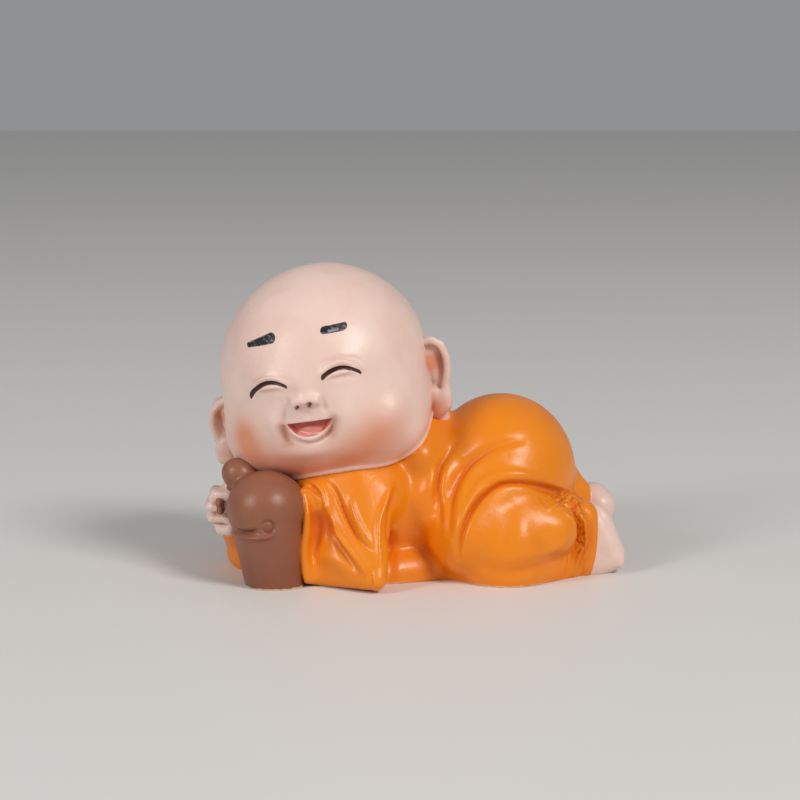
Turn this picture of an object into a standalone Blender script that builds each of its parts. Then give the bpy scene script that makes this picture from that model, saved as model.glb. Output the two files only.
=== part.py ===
"""Baby monk statue: one small resin casting with a flat underside.

The monk lies on his belly with his bottom in the air. His big bald head looks to the side,
he hugs a wooden fish, the hollow temple drum, under his chin, and his far hand holds its mallet.
X runs from the head to the feet, -Y is the side that the face looks to, and +Z is up.
Every place and radius is a share of the length: UNIT is one fifty-ninth of it, about a millimetre.
The head's own frame has -Y out of the face and +Z out of the crown, in half head widths.
"""

import math

import bmesh
import bpy
import numpy as np
from mathutils import Matrix, Vector
from mathutils.bvhtree import BVHTree

# Over the fist and the foot, which are 59 units apart
LENGTH = 0.060
UNIT = LENGTH / 59.0
TRIANGLES = 9400
FACE_TRIANGLES = 2900

# Mesh widths in units: the robe's, the ears' and hands', and that of the one skin over all
ROBE_GRAIN = 0.5
FINE_GRAIN = 0.3
CAST_GRAIN = 0.33

HEAD_HALF_WIDTH = 15.26 * UNIT
HEAD_CENTRE = (-12.7, -3.0, 28.93)
HEAD_TURN = (10.0, -12.4, -12.5)

# Each lash line is a cubic in how far across the eye it is, from -1 to 1: (middle, half width, terms)
LASHES = (
    (-0.300, 0.187, (0.243, 0.035, -0.080, 0.001)),
    (0.382, 0.153, (0.273, -0.014, -0.067, -0.009)),
)
MOUTH_MIDDLE = 0.020
MOUTH_HALF_WIDTH = 0.210
MOUTH_TOP = -0.154
MOUTH_HEIGHT = 0.143

ROBE_ORANGE = (0.87, 0.36, 0.05)


# Modelling helpers


def clear_scene():
    for obj in list(bpy.data.objects):
        bpy.data.objects.remove(obj, do_unlink=True)


def turned(angles):
    """The matrix that pitches, rolls and turns, by angles in degrees about X, Y and Z."""
    pitch, roll, turn = (math.radians(a) for a in angles)
    return (
        Matrix.Rotation(roll, 4, "Y")
        @ Matrix.Rotation(pitch, 4, "X")
        @ Matrix.Rotation(turn, 4, "Z")
    )


def ball(shape, centre, radii, turn=(0.0, 0.0, 0.0), unit=UNIT):
    """Adds an ellipsoid to the clay."""
    place = Matrix.Translation(Vector(centre) * unit) @ turned(turn)
    size = Matrix.Diagonal((*(Vector(radii) * unit), 1.0))
    bmesh.ops.create_uvsphere(
        shape, u_segments=28, v_segments=18, radius=1.0, matrix=place @ size
    )


def hull(shape, balls, unit=UNIT):
    """Adds the tight skin around several balls, each given as (x, y, z, radius)."""
    wrap = bmesh.new()
    for x, y, z, radius in balls:
        place = Matrix.Translation(Vector((x, y, z)) * unit)
        bmesh.ops.create_uvsphere(wrap, u_segments=20, v_segments=12, radius=radius * unit, matrix=place)
    made = bmesh.ops.convex_hull(wrap, input=wrap.verts)
    loose = [g for g in made["geom_interior"] if isinstance(g, bmesh.types.BMVert)]
    bmesh.ops.delete(wrap, geom=loose, context="VERTS")
    spare = bpy.data.meshes.new("hull")
    wrap.to_mesh(spare)
    wrap.free()
    shape.from_mesh(spare)
    bpy.data.meshes.remove(spare)


def roll(shape, balls, unit=UNIT):
    """Adds a rope of clay that runs through the balls in turn."""
    for first, second in zip(balls, balls[1:]):
        hull(shape, [first, second], unit)


def add_object(name, shape):
    mesh = bpy.data.meshes.new(name)
    shape.to_mesh(mesh)
    shape.free()
    obj = bpy.data.objects.new(name, mesh)
    bpy.context.scene.collection.objects.link(obj)
    return obj


def applied(obj):
    """The object with its modifiers made part of its mesh."""
    graph = bpy.context.evaluated_depsgraph_get()
    mesh = bpy.data.meshes.new_from_object(obj.evaluated_get(graph))
    obj.modifiers.clear()
    obj.data = mesh
    return obj


def skinned(name, shape, grain, passes):
    """One smooth skin over all the clay in shape. Grain is the mesh width, passes the smoothing."""
    obj = add_object(name, shape)
    remesh = obj.modifiers.new("One skin", "REMESH")
    remesh.mode = "VOXEL"
    remesh.voxel_size = grain * UNIT
    smooth = obj.modifiers.new("Soften", "SMOOTH")
    smooth.factor = 0.5
    smooth.iterations = passes
    return applied(obj)


def points_of(mesh):
    co = np.empty(len(mesh.vertices) * 3, np.float32)
    mesh.vertices.foreach_get("co", co)
    return co.reshape(-1, 3).astype(float)


def set_points(mesh, points):
    mesh.vertices.foreach_set("co", points.astype(np.float32).ravel())
    mesh.update()


def normals_of(mesh):
    normals = np.empty(len(mesh.vertices) * 3, np.float32)
    mesh.vertex_normals.foreach_get("vector", normals)
    return normals.reshape(-1, 3).astype(float)


def eased(low, high, values):
    """0 below low, 1 above high, and a smooth step between."""
    t = np.clip((values - low) / (high - low), 0.0, 1.0)
    return t * t * (3.0 - 2.0 * t)


def curve_through(points, count=60):
    """A smooth curve through the points, evenly sampled by a Catmull-Rom spline."""
    p = np.array(points, float)
    p = np.vstack([2 * p[0] - p[1], p, 2 * p[-1] - p[-2]])
    spans = len(p) - 3
    samples = []
    for at in np.linspace(0.0, spans - 1e-9, count):
        i, t = int(at), at - int(at)
        a, b, c, d = p[i : i + 4]
        samples.append(
            0.5 * (2 * b + (c - a) * t + (2 * a - 5 * b + 4 * c - d) * t**2 + (3 * b - a - 3 * c + d) * t**3)
        )
    return np.array(samples)


def drawn_on(mesh, path, side, unit=UNIT):
    """Where a line of (x, z) points falls on the mesh, seen from its near (-Y) or far (+Y) side."""
    tree = BVHTree.FromPolygons([v.co for v in mesh.vertices], [p.vertices for p in mesh.polygons])
    away, ray = (-LENGTH, Vector((0, 1, 0))) if side == "near" else (LENGTH, Vector((0, -1, 0)))
    found = []
    for x, z in curve_through(path) * unit:
        hit = tree.ray_cast(Vector((x, away, z)), ray)[0]
        if hit is not None:
            found.append(hit)
    return np.array(found)


def carve(mesh, line, width, depth, lip=0.0):
    """Presses a groove along the line, deepest at its middle. A negative depth raises a ridge.
    Lip raises the cloth beside the groove, on the line's left as seen from outside, and sinks its right."""
    points, normals = points_of(mesh), normals_of(mesh)
    reach = 3.0 * width * UNIT
    near = np.all((points > line.min(0) - reach) & (points < line.max(0) + reach), axis=1)
    index = np.nonzero(near)[0]
    gaps = np.linalg.norm(points[index][:, None, :] - line[None], axis=2)
    closest = gaps.argmin(1)
    away = gaps.min(1) / (width * UNIT)
    along = closest / (len(line) - 1.0)
    fade = np.sqrt(np.clip(np.sin(math.pi * (0.06 + 0.88 * along)), 0.0, 1.0))
    moved = -depth * np.exp(-(away**2))
    if lip:
        forward = np.gradient(line, axis=0)[closest]
        left = np.cross(normals[index], forward)
        side = np.einsum("ij,ij->i", points[index] - line[closest], left)
        side /= np.linalg.norm(left, axis=1) * width * UNIT
        moved += lip * np.tanh(1.6 * side) * np.exp(-((0.55 * away) ** 2))
    points[index] += normals[index] * (moved * fade * UNIT)[:, None]
    set_points(mesh, points)


def swell(mesh, centre, reach, height, unit, tilt=0.0):
    """Raises a soft mound on the -Y side, round (x, z). A negative height presses a hollow."""
    points, normals = points_of(mesh), normals_of(mesh)
    x, z = points[:, 0] / unit - centre[0], points[:, 2] / unit - centre[1]
    turn = math.radians(tilt)
    across = (x * math.cos(turn) + z * math.sin(turn)) / reach[0]
    up = (z * math.cos(turn) - x * math.sin(turn)) / reach[1]
    mound = np.exp(-(across**2) - up**2) * (points[:, 1] < 0)
    set_points(mesh, points + normals * (mound * height * unit)[:, None])


def joined(objects, name):
    """The objects as one mesh, still overlapping."""
    shape = bmesh.new()
    for obj in objects:
        shape.from_mesh(obj.data)
        bpy.data.objects.remove(obj, do_unlink=True)
    return add_object(name, shape)


# The robe, with the body inside it


def lay_body(clay):
    """The lying child: bottom in the air, chest on the ground, arms forward and knees drawn up."""
    hips, waist, chest = (12.3, 0.5, 13.4), (3.0, 0.5, 10.5), (-6.0, 0.0, 9.5)
    ball(clay, hips, (10.7, 12.0, 11.4))
    ball(clay, waist, (12.0, 12.0, 10.8))
    ball(clay, chest, (12.0, 12.0, 10.0))
    for shoulder in ((-6.5, -7.5, 12.0), (-8.0, 9.0, 12.0)):
        ball(clay, shoulder, (6.5, 6.5, 6.5))
    tail = [(19.0, 1.0, 12.0, 3.2), (21.9, 1.2, 12.1, 2.2), (21.6, 1.4, 10.0, 2.6), (15.0, 1.0, 14.0, 6.0)]
    breast = [
        (-12.0, -5.0, 13.5, 6.0),
        (-14.0, 4.0, 12.0, 6.0),
        (-12.0, -6.0, 3.0, 4.0),
        (-16.0, 2.0, 2.0, 4.0),
    ]
    armpit = [(-14.5, -8.5, 12.2, 3.2), (-10.0, -8.0, 13.5, 4.0), (-15.0, -8.0, 4.0, 3.0)]
    for balls in (tail, breast, armpit):
        hull(clay, balls)


def lay_underside(clay):
    """What fills the casting down to the table, and behind the fish up to the chin."""
    chest_foot = [(-19.0, 6.0), (-12.0, -8.0), (-4.0, -9.2), (4.6, -5.7), (4.6, 10.0), (-13.0, 10.0)]
    hip_foot = [
        (4.6, -5.5),
        (10.5, -9.0),
        (15.0, -9.0),
        (20.0, -4.5),
        (20.0, 4.0),
        (12.0, 10.0),
        (4.6, 10.0),
    ]
    behind_fish = [
        (-14.0, -6.0, 10.5, 4.0),
        (-19.5, -6.0, 9.0, 4.0),
        (-21.5, -1.0, 5.0, 3.5),
        (-14.0, 0.0, 1.0, 4.0),
        (-19.5, -7.5, 0.5, 4.0),
    ]
    for corners in (chest_foot, hip_foot):
        hull(clay, [(x, y, 0.5, 4.0) for x, y in corners])
    hull(clay, behind_fish)


def lay_legs(clay):
    """Knees on the ground at each side, and the shins run back to two wide cuffs."""
    hull(clay, [(12.0, -6.0, 12.0, 7.0), (7.5, -10.0, 6.5, 6.0)])
    ball(clay, (12.7, -8.6, 4.4), (7.3, 8.0, 8.8))
    hull(clay, [(13.5, -9.0, 7.6, 5.8), (18.5, -9.8, 6.9, 4.2)])
    hull(clay, [(14.0, -8.6, 2.4, 6.0), (20.6, -5.6, 1.6, 3.6)])
    hull(clay, [(19.0, -4.5, 6.0, 5.0), (22.6, -4.6, 7.2, 3.7), (23.0, -4.8, 2.0, 3.6)])
    hull(clay, [(12.0, 7.0, 12.0, 7.0), (9.0, 10.5, 6.5, 6.0)])
    ball(clay, (13.5, 10.6, 4.5), (8.4, 7.2, 8.6))
    hull(clay, [(16.0, 8.0, 6.0, 5.5), (22.2, 3.5, 9.2, 3.6), (22.4, 3.0, 3.0, 3.2)])
    hull(clay, [(17.0, 0.0, 8.0, 5.0), (22.6, 1.0, 9.6, 2.6), (22.0, 0.0, 3.5, 3.4)])
    hem = [
        (22.3, -6.6, 10.6),
        (23.6, -7.9, 7.9),
        (23.8, -8.1, 6.3),
        (23.7, -8.1, 4.7),
        (22.7, -8.5, 2.9),
        (22.2, -8.7, 0.2),
    ]
    roll(clay, [(x, y, z, 0.5) for x, y, z in hem])


def lay_sleeves(clay):
    """The near sleeve hangs from the shoulder to a point on the ground, the far one reaches the mallet."""
    near = [
        (-14.6, -11.5, 13.0, 1.5),
        (-8.0, -11.0, 15.0, 2.5),
        (-4.5, -12.5, 13.0, 1.6),
        (-5.2, -19.0, 1.6, 1.3),
        (-14.3, -12.8, 1.2, 1.4),
        (-8.0, -8.0, 1.5, 2.0),
    ]
    hull(clay, near)
    roll(clay, [(-8.0, 9.0, 12.5, 5.4), (-17.5, 12.6, 5.0, 5.4), (-24.0, -1.5, 6.5, 3.6)])
    hull(clay, [(-24.4, -2.5, 6.0, 3.2), (-24.9, 1.0, 4.4, 2.9), (-19.0, 6.0, 3.0, 4.0)])
    roll(clay, [(-24.0, -2.0, 1.4, 2.2), (-25.2, 1.5, 1.5, 2.2), (-21.5, 7.5, 1.6, 2.6)])


def lay_collar(clay):
    """The neck of the robe, a soft roll round the nape."""
    nape = [(0.5, -7.5, 17.0, 3.0), (1.6, 0.0, 20.6, 3.8), (-1.5, 7.0, 17.6, 4.4), (-9.0, 9.0, 13.0, 5.0)]
    roll(clay, nape)


FOLDS = {
    # Each is (side, path, width, depth, lip): a groove, or with a negative depth a ridge
    "under the arm": ("near", [(5.3, 18.6), (3.5, 15.9), (3.0, 12.9), (3.2, 9.3)], 0.8, 1.1, 0.2),
    "below the arm": ("near", [(3.2, 10.5), (3.1, 7.0), (3.0, 2.0)], 1.6, 0.4, 0.0),
    "waist": (
        "near",
        [(14.7, 19.6), (11.2, 18.8), (8.1, 16.9), (6.0, 14.4), (4.9, 11.5), (4.5, 7.8)],
        0.8,
        0.9,
        0.3,
    ),
    "waist roll": ("near", [(11.5, 17.8), (8.1, 15.4), (6.4, 12.3), (5.6, 8.8)], 0.8, -0.3, 0.0),
    "thigh roll": ("near", [(12.0, 15.6), (10.1, 14.9), (8.5, 13.6), (6.5, 10.3), (5.5, 7.6)], 0.7, -0.4, 0),
    "thigh": (
        "near",
        [(21.3, 11.5), (18.3, 13.0), (15.2, 14.1), (11.8, 14.2), (9.1, 12.6), (7.1, 9.8), (6.0, 6.7), (5.7, 4)],
        0.7,
        1.4,
        -0.4,
    ),
    "overhang": ("near", [(11.6, 15.4), (13.9, 15.4), (16.1, 14.9), (18.2, 14.1), (20.2, 13)], 0.7, -0.4, 0),
    "knee": ("near", [(13.4, 12.0), (12.8, 9.5), (12.3, 6.9), (12.0, 4.5)], 1.6, 0.4, 0.0),
    "under the shin": (
        "near",
        [(8.5, 3.2), (11.5, 2.5), (14.3, 2.6), (17.1, 3.0), (19.5, 3.2), (21.0, 3.8)],
        1.3,
        0.7,
        0.0,
    ),
    "gather": (
        "near",
        [(21.8, 9.7), (22.6, 8.5), (23.0, 6.9), (22.9, 5.2), (22.0, 3.7), (21.4, 0.8)],
        0.5,
        0.9,
        0.0,
    ),
    "seat": ("near", [(21.0, 18.6), (21.2, 16.8), (21.5, 15.0), (22.4, 13.0)], 0.7, 0.3, 0.0),
    "sleeve mouth": (
        "near",
        [(-14.5, 11.7), (-14.3, 9.9), (-14.2, 7.9), (-14.6, 6.0), (-15.0, 3.8)],
        0.7,
        1.2,
        0.0,
    ),
    "inside the sleeve": ("near", [(-13.6, 10.9), (-13.0, 9.4), (-12.6, 7.9), (-12.9, 6.6)], 1.3, 0.9, 0.0),
    "sleeve front": (
        "near",
        [(-15.0, 14.6), (-13.1, 13.4), (-12.1, 10.3), (-10.6, 7.6), (-8.7, 5.3), (-6.8, 3.0)],
        0.6,
        -0.7,
        0.0,
    ),
    "sleeve groove": (
        "near",
        [(-12.0, 14.4), (-10.9, 12.9), (-10.0, 10.9), (-9.0, 9.0), (-7.9, 7.3), (-6.3, 5.8)],
        0.55,
        0.95,
        0.0,
    ),
    "sleeve middle": ("near", [(-8.9, 12.6), (-8.5, 10.9), (-7.6, 8.8), (-6.2, 6.8)], 0.5, -0.45, 0.0),
    "sleeve back": ("near", [(-3.3, 13.9), (-4.1, 12.1), (-5.0, 9.6), (-5.1, 7), (-4.9, 4.1)], 0.6, -0.6, 0),
    "behind the sleeve": ("near", [(-2.6, 13.5), (-3.3, 10.9), (-3.6, 7.2), (-3.6, 0.5)], 0.9, 0.9, 0.0),
    "far thigh": ("far", [(20.0, 12.5), (15.0, 14.0), (10.5, 13.0), (7.0, 9.0), (5.4, 4.0)], 0.9, 1.5, 0.4),
    "far arm": ("far", [(4.5, 18.5), (2.0, 14.0), (1.0, 8.0)], 0.9, 1.0, 0.2),
    "far waist": ("far", [(12.0, 19.0), (7.0, 16.0), (4.0, 10.0)], 0.9, 0.7, 0.2),
    "far sleeve": ("far", [(-4.0, 15.0), (-10.0, 10.0), (-17.0, 3.0)], 0.9, 0.8, 0.2),
    "far elbow": ("far", [(-12.0, 12.5), (-18.0, 9.0), (-22.5, 5.5)], 0.8, 0.6, 0.2),
}


def model_robe(grain):
    clay = bmesh.new()
    lay_body(clay)
    lay_underside(clay)
    lay_legs(clay)
    lay_sleeves(clay)
    lay_collar(clay)
    robe = skinned("robe", clay, grain, round(8 / grain**1.5))
    for side, path, width, depth, lip in FOLDS.values():
        carve(robe.data, drawn_on(robe.data, path, side), width, depth, lip)
    soften = robe.modifiers.new("Soften the folds", "SMOOTH")
    soften.factor = 0.5
    soften.iterations = 2
    return applied(robe)


# The head


def head_radius(ways):
    """How far the head reaches along unit vectors of its own frame: round, with square jowls in front."""
    x, y, z = ways.T
    power = 2.0 + 0.886 * eased(0.15, -0.6, z) * eased(0.6, 0.0, y)
    tall = np.where(z > 0.0, 0.955, 0.877)
    sides = np.abs(x / 0.976) ** power + np.abs(y / 1.008) ** power + np.abs(z / tall) ** power
    radius = sides ** (-1.0 / power)
    for centre, spread, height in (
        ((0.784, -0.5, -0.534), 0.35, 0.082),
        ((-0.784, -0.5, -0.534), 0.35, 0.082),
        ((0.0, 0.75, 0.65), 0.7, 0.028),
    ):
        towards = np.array(centre) / np.linalg.norm(centre)
        angle = np.arccos(np.clip(ways @ towards, -1.0, 1.0))
        radius += height * np.exp(-((angle / spread) ** 2))
    return radius - 0.015 * np.exp(-(((z + 0.05) / 0.25) ** 2))


def lash_line(side, start, end, lift, bow=0.0):
    """Points along the smiling lash line of one eye, moved up by lift, and by bow more in the middle."""
    middle, half, terms = LASHES[side]
    points = []
    for at in np.linspace(start, end, 7):
        level = sum(term * at**power for power, term in enumerate(terms))
        points.append((middle + half * at, level + lift + bow * (1.0 - at * at)))
    return points


def press_on_face(face, unit, path, width, depth):
    carve(face, drawn_on(face, path, "near", unit), width, depth)


def place_eye(face, unit, side):
    """A full closed lid over a smiling lash line, the fold above it, and the cheek below."""
    middle, half, terms = LASHES[side]
    swell(face, (middle, terms[0] + 0.005), (half * 1.25, 0.12), 0.022, unit)
    swell(face, (middle, terms[0] - 0.045), (half * 0.8, 0.034), 0.022, unit)
    press_on_face(face, unit, lash_line(side, -1.12, 1.05, 0.034, 0.014), 0.50, -0.45)
    press_on_face(face, unit, lash_line(side, -1.25, 1.15, 0.052, 0.060), 0.38, 0.36)
    press_on_face(face, unit, lash_line(side, -1.0, 1.0, 0.0), 0.34, 0.60)


def place_nose(face, unit):
    swell(face, (0.030, 0.17), (0.075, 0.12), 0.026, unit)
    swell(face, (0.034, 0.062), (0.088, 0.058), 0.068, unit)
    for side in (-1, 1):
        swell(face, (0.034 + 0.098 * side, 0.040), (0.040, 0.042), 0.044, unit)
    for centre, reach in (((-0.051, -0.006), (0.016, 0.026)), ((0.067, 0.009), (0.020, 0.030))):
        swell(face, centre, reach, -0.070, unit, tilt=-35.0)


def mouth_edges(at):
    """The upper and lower edge of the open smile, by how far across it is from -1 to 1."""
    upper = MOUTH_TOP - 0.003 * at
    open_there = np.clip(1.0 - at**2, 0.0, 1.0)
    return upper, upper - MOUTH_HEIGHT * open_there**0.65 * (1.0 - 0.2 * at)


SMILE_LINES = (
    # The crease at each corner of the mouth and the one below the lower lip
    [(-0.214, -0.160), (-0.226, -0.215), (-0.226, -0.284), (-0.215, -0.340)],
    [(-0.190, -0.262), (-0.138, -0.310), (-0.076, -0.342), (-0.006, -0.366), (0.078, -0.350)],
    [(0.040, -0.358), (0.110, -0.332), (0.159, -0.300), (0.195, -0.262), (0.222, -0.212), (0.240, -0.165)],
)


def place_mouth(face, unit):
    """An open smile: a nearly straight upper lip, a round lower one and the tongue in the hollow."""
    for side in (-1, 1):
        swell(face, (MOUTH_MIDDLE + 0.33 * side, -0.15), (0.10, 0.13), 0.022, unit)
    for path in SMILE_LINES:
        press_on_face(face, unit, path, 0.44, 0.50)
    lower_lip = []
    for at in np.linspace(-0.9, 0.93, 9):
        lower_lip.append((MOUTH_MIDDLE + MOUTH_HALF_WIDTH * at, mouth_edges(at)[1] - 0.022))
    press_on_face(face, unit, lower_lip, 0.36, -0.30)
    points, normals = points_of(face), normals_of(face)
    x, z = (points[:, 0] / unit - MOUTH_MIDDLE) / MOUTH_HALF_WIDTH, points[:, 2] / unit
    upper, lower = mouth_edges(x)
    inside = np.minimum(upper - z, z - lower) * (points[:, 1] < 0) * (np.abs(x) < 1.0)
    hollow = eased(-0.002, 0.034, inside) * 0.074
    mound = np.exp(-(((x + 0.1) / 0.55) ** 2) - ((z + 0.270) / 0.055) ** 2)
    tongue = mound * eased(0.0, 0.02, inside) * 0.044
    set_points(face, points - normals * ((hollow - tongue) * unit)[:, None])
    swell(face, (-0.06, -0.450), (0.20, 0.070), 0.026, unit)
    swell(face, (MOUTH_MIDDLE, -0.085), (0.030, 0.045), -0.010, unit)


EARS = {
    # Each is (the shell's middle, the rim's path from top to lobe, the lobe's balls), as (x, z[, radius])
    "right": (
        (1.02, -0.10),
        [(0.93, 0.09), (1.02, 0.1), (1.09, 0.04), (1.115, -0.08), (1.09, -0.22), (1.045, -0.33), (1.065, -0.43)],
        [(1.045, -0.46, 0.062), (1.03, -0.60, 0.062), (0.97, -0.62, 0.075), (0.955, -0.42, 0.06)],
    ),
    "left": (
        (-1.12, -0.36),
        [(-0.98, -0.16), (-1.10, -0.20), (-1.185, -0.28), (-1.215, -0.41), (-1.195, -0.55), (-1.165, -0.63)],
        [(-1.19, -0.66, 0.062), (-1.185, -0.74, 0.066), (-1.11, -0.76, 0.075), (-1.09, -0.56, 0.06)],
    ),
}


def lay_ear(clay, unit, middle, rim, lobe):
    """A thin shell that faces forwards, with a rolled rim and a fat lobe."""
    x, z = middle
    root = x - math.copysign(0.12, x)
    hull(clay, [(x, 0.12, z + 0.12, 0.075), (x, 0.12, z - 0.18, 0.075), (root, 0.14, z, 0.16)], unit)
    hull(clay, [(root, 0.10, z - 0.30, 0.08), (x, 0.08, z - 0.30, 0.06)], unit)
    hull(clay, [(root, 0.16, z - 0.58, 0.12), (root, 0.10, z - 0.40, 0.12)], unit)
    hull(clay, [(x, 0.03, z, radius) for x, z, radius in lobe], unit)
    roll(clay, [(x, 0.03, z, 0.045) for x, z in rim], unit)


def model_head(fineness):
    """Made in its own frame and then set in its place. Fineness is the times a 20-faced ball is divided."""
    unit = HEAD_HALF_WIDTH
    shape = bmesh.new()
    bmesh.ops.create_icosphere(shape, subdivisions=fineness, radius=1.0)
    head = add_object("head", shape)
    ways = points_of(head.data)
    ways /= np.linalg.norm(ways, axis=1)[:, None]
    set_points(head.data, ways * (head_radius(ways) * unit)[:, None])
    for side in (0, 1):
        place_eye(head.data, unit, side)
    place_nose(head.data, unit)
    place_mouth(head.data, unit)
    clay = bmesh.new()
    for shape in EARS.values():
        lay_ear(clay, unit, *shape)
    ears = skinned("ears", clay, FINE_GRAIN, 3)
    whole = joined([head, ears], "head")
    whole.data.transform(Matrix.Translation(Vector(HEAD_CENTRE) * UNIT) @ turned(HEAD_TURN))
    return whole


# The wooden fish, the mallet and the hand


def lay_fish(clay):
    """A round hollow drum on a narrow foot. The slot that runs across it is pressed in afterwards."""
    ball(clay, (-20.6, -13.0, 10.8), (5.6, 5.6, 5.2))
    bmesh.ops.create_cone(
        clay,
        cap_ends=True,
        segments=32,
        radius1=3.98 * UNIT,
        radius2=5.2 * UNIT,
        depth=11.0 * UNIT,
        matrix=Matrix.Translation(Vector((-20.0, -13.3, 4.6)) * UNIT) @ turned((0.0, -6.0, 0.0)),
    )


def lay_mallet(clay):
    """Its round head, and its stick that comes out of the fist."""
    ball(clay, (-24.5, -10.0, 15.0), (2.6, 2.4, 2.3), (0.0, 25.0, 0.0))
    roll(clay, [(-24.6, -9.6, 14.6, 1.0), (-26.8, -8.4, 11.0, 0.7)])
    roll(clay, [(-27.2, -8.6, 10.9, 0.75), (-27.3, -10.6, 10.5, 0.75)])


FINGERS = ((11.8, 28.9, 1.0), (10.2, 29.45, 1.05), (8.55, 29.3, 1.05), (7.0, 28.2, 1.0))


def lay_hand(clay):
    """A small fist: four rolled fingers, the palm behind them, and the web up to the mallet."""
    ball(clay, (-26.3, -6.2, 9.4), (2.0, 2.2, 3.0))
    roll(clay, [(-26.9, -7.8, 11.6, 1.2), (-26.1, -8.6, 13.2, 0.8)])
    for height, reach, radius in FINGERS:
        left = radius - reach
        knuckle = (left + 0.3, -8.6, height, radius)
        roll(clay, [(-26.0, -9.2, height, radius), knuckle, (left, -6.2, height, radius)])


def lay_feet(clay):
    """The near foot rests beside its cuff, and the far one lies crossed on top."""
    near = [(24.0, -3.7, 7.6, 2.5), (25.4, -3.9, 6.8, 2.6), (26.9, -4.6, 2.5, 2.5), (24.5, -4.8, 1.6, 2.8)]
    far = [(24.9, 2.0, 9.6, 2.5), (26.3, 1.3, 8.6, 2.4), (25.8, 0.8, 6.6, 2.3), (24.8, 4.2, 7.6, 2.6)]
    hull(clay, near)
    hull(clay, far)
    for toe in range(5):
        ball(clay, (28.3 - 0.12 * toe**2, -6.0 + 1.15 * toe, 2.2), (1.0, 0.8 - 0.04 * toe, 1.3 - 0.06 * toe))


def model_small_things(grain):
    clay = bmesh.new()
    lay_fish(clay)
    lay_mallet(clay)
    lay_hand(clay)
    lay_feet(clay)
    things = skinned("small things", clay, grain, 3)
    slot = [(-26.2, 8.5), (-24.6, 8.3), (-23.2, 8.3), (-22.2, 8.5), (-21.6, 8.8)]
    carve(things.data, drawn_on(things.data, slot, "near"), 0.45, 1.0)
    eye, reach = (-20.2, 9.1), 0.85
    ring = [(eye[0] + reach * math.cos(a), eye[1] + reach * math.sin(a)) for a in np.linspace(-3.1, 3.1, 13)]
    carve(things.data, drawn_on(things.data, ring, "near"), 0.35, 0.3)
    for (upper, *_), (lower, *_) in zip(FINGERS, FINGERS[1:]):
        height = (upper + lower) / 2
        between = [(-29.2, height), (-27.8, height - 0.1), (-25.6, height)]
        carve(things.data, drawn_on(things.data, between, "near"), 0.3, 0.3)
    return things


# The casting


def cut_flat(statue):
    """Takes off what is below the ground, so that the statue stands on a flat underside."""
    below = bmesh.new()
    bmesh.ops.create_cube(below, size=1.0, matrix=Matrix.Diagonal((4 * LENGTH, 4 * LENGTH, LENGTH, 1.0)))
    bmesh.ops.translate(below, verts=below.verts, vec=(0.0, 0.0, -LENGTH / 2))
    ground = add_object("ground cutter", below)
    cut = statue.modifiers.new("Flat underside", "BOOLEAN")
    cut.operation = "DIFFERENCE"
    cut.object = ground
    applied(statue)
    bpy.data.objects.remove(ground, do_unlink=True)


def reduced(statue, chosen, triangles):
    """Brings the chosen part of the skin down to so many triangles, dense where it curves."""
    group = statue.vertex_groups.new(name="chosen")
    group.add(np.nonzero(chosen)[0].tolist(), 1.0, "REPLACE")
    sizes = np.array([len(face.vertices) - 2 for face in statue.data.polygons])
    inside = np.array([chosen[face.vertices[0]] for face in statue.data.polygons])
    spare = sizes[inside].sum() - triangles
    reduce = statue.modifiers.new("Reduce", "DECIMATE")
    reduce.vertex_group = group.name
    reduce.ratio = 1.0 - spare / sizes.sum()
    applied(statue)
    statue.vertex_groups.clear()


def on_the_face(statue):
    """Which points are close to the middle of the face, where the carving is finest."""
    place = Matrix.Translation(Vector(HEAD_CENTRE) * UNIT) @ turned(HEAD_TURN)
    middle = np.array(place @ (Vector((0.02, -0.95, 0.02)) * HEAD_HALF_WIDTH))
    return np.linalg.norm(points_of(statue.data) - middle, axis=1) < 0.62 * HEAD_HALF_WIDTH


def centred(statue):
    """Puts the middle of the footprint's box at the origin."""
    points = points_of(statue.data)
    low, high = points.min(0), points.max(0)
    statue.data.transform(Matrix.Translation(((low[0] + high[0]) / -2, (low[1] + high[1]) / -2, -low[2])))


def painted_resin():
    paint = bpy.data.materials.new("painted resin")
    paint.use_nodes = True
    surface = paint.node_tree.nodes["Principled BSDF"]
    surface.inputs["Base Color"].default_value = (*ROBE_ORANGE, 1.0)
    surface.inputs["Roughness"].default_value = 0.35
    surface.inputs["Metallic"].default_value = 0.0
    return paint


def main():
    clear_scene()
    pieces = [model_robe(ROBE_GRAIN), model_head(6), model_small_things(FINE_GRAIN)]
    statue = joined(pieces, "baby_monk_statue")
    fuse = statue.modifiers.new("Cast in one", "REMESH")
    fuse.mode = "VOXEL"
    fuse.voxel_size = CAST_GRAIN * UNIT
    applied(statue)
    reduced(statue, ~on_the_face(statue), TRIANGLES - FACE_TRIANGLES)
    reduced(statue, on_the_face(statue), FACE_TRIANGLES)
    cut_flat(statue)
    centred(statue)
    statue.data.materials.clear()
    statue.data.materials.append(painted_resin())
    for face in statue.data.polygons:
        face.use_smooth = True


main()
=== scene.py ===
"""The looks of the baby monk figurine: one resin casting, modelled fine and painted by hand.

Clay is laid on as balls, hulls and ropes, gets one smooth skin, and the folds and the face are
pressed into it. The clays are then fused into one casting, cut flat below and painted.
Places and radii in the modelling are in units of UNIT, about a millimetre, in the sculptor's own
frame: X runs from the head to the feet, -Y is the side that the face looks to. The face is drawn
in the head's own frame, in half head widths, with -Y out of the face and +Z out of the crown.
"""

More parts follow.
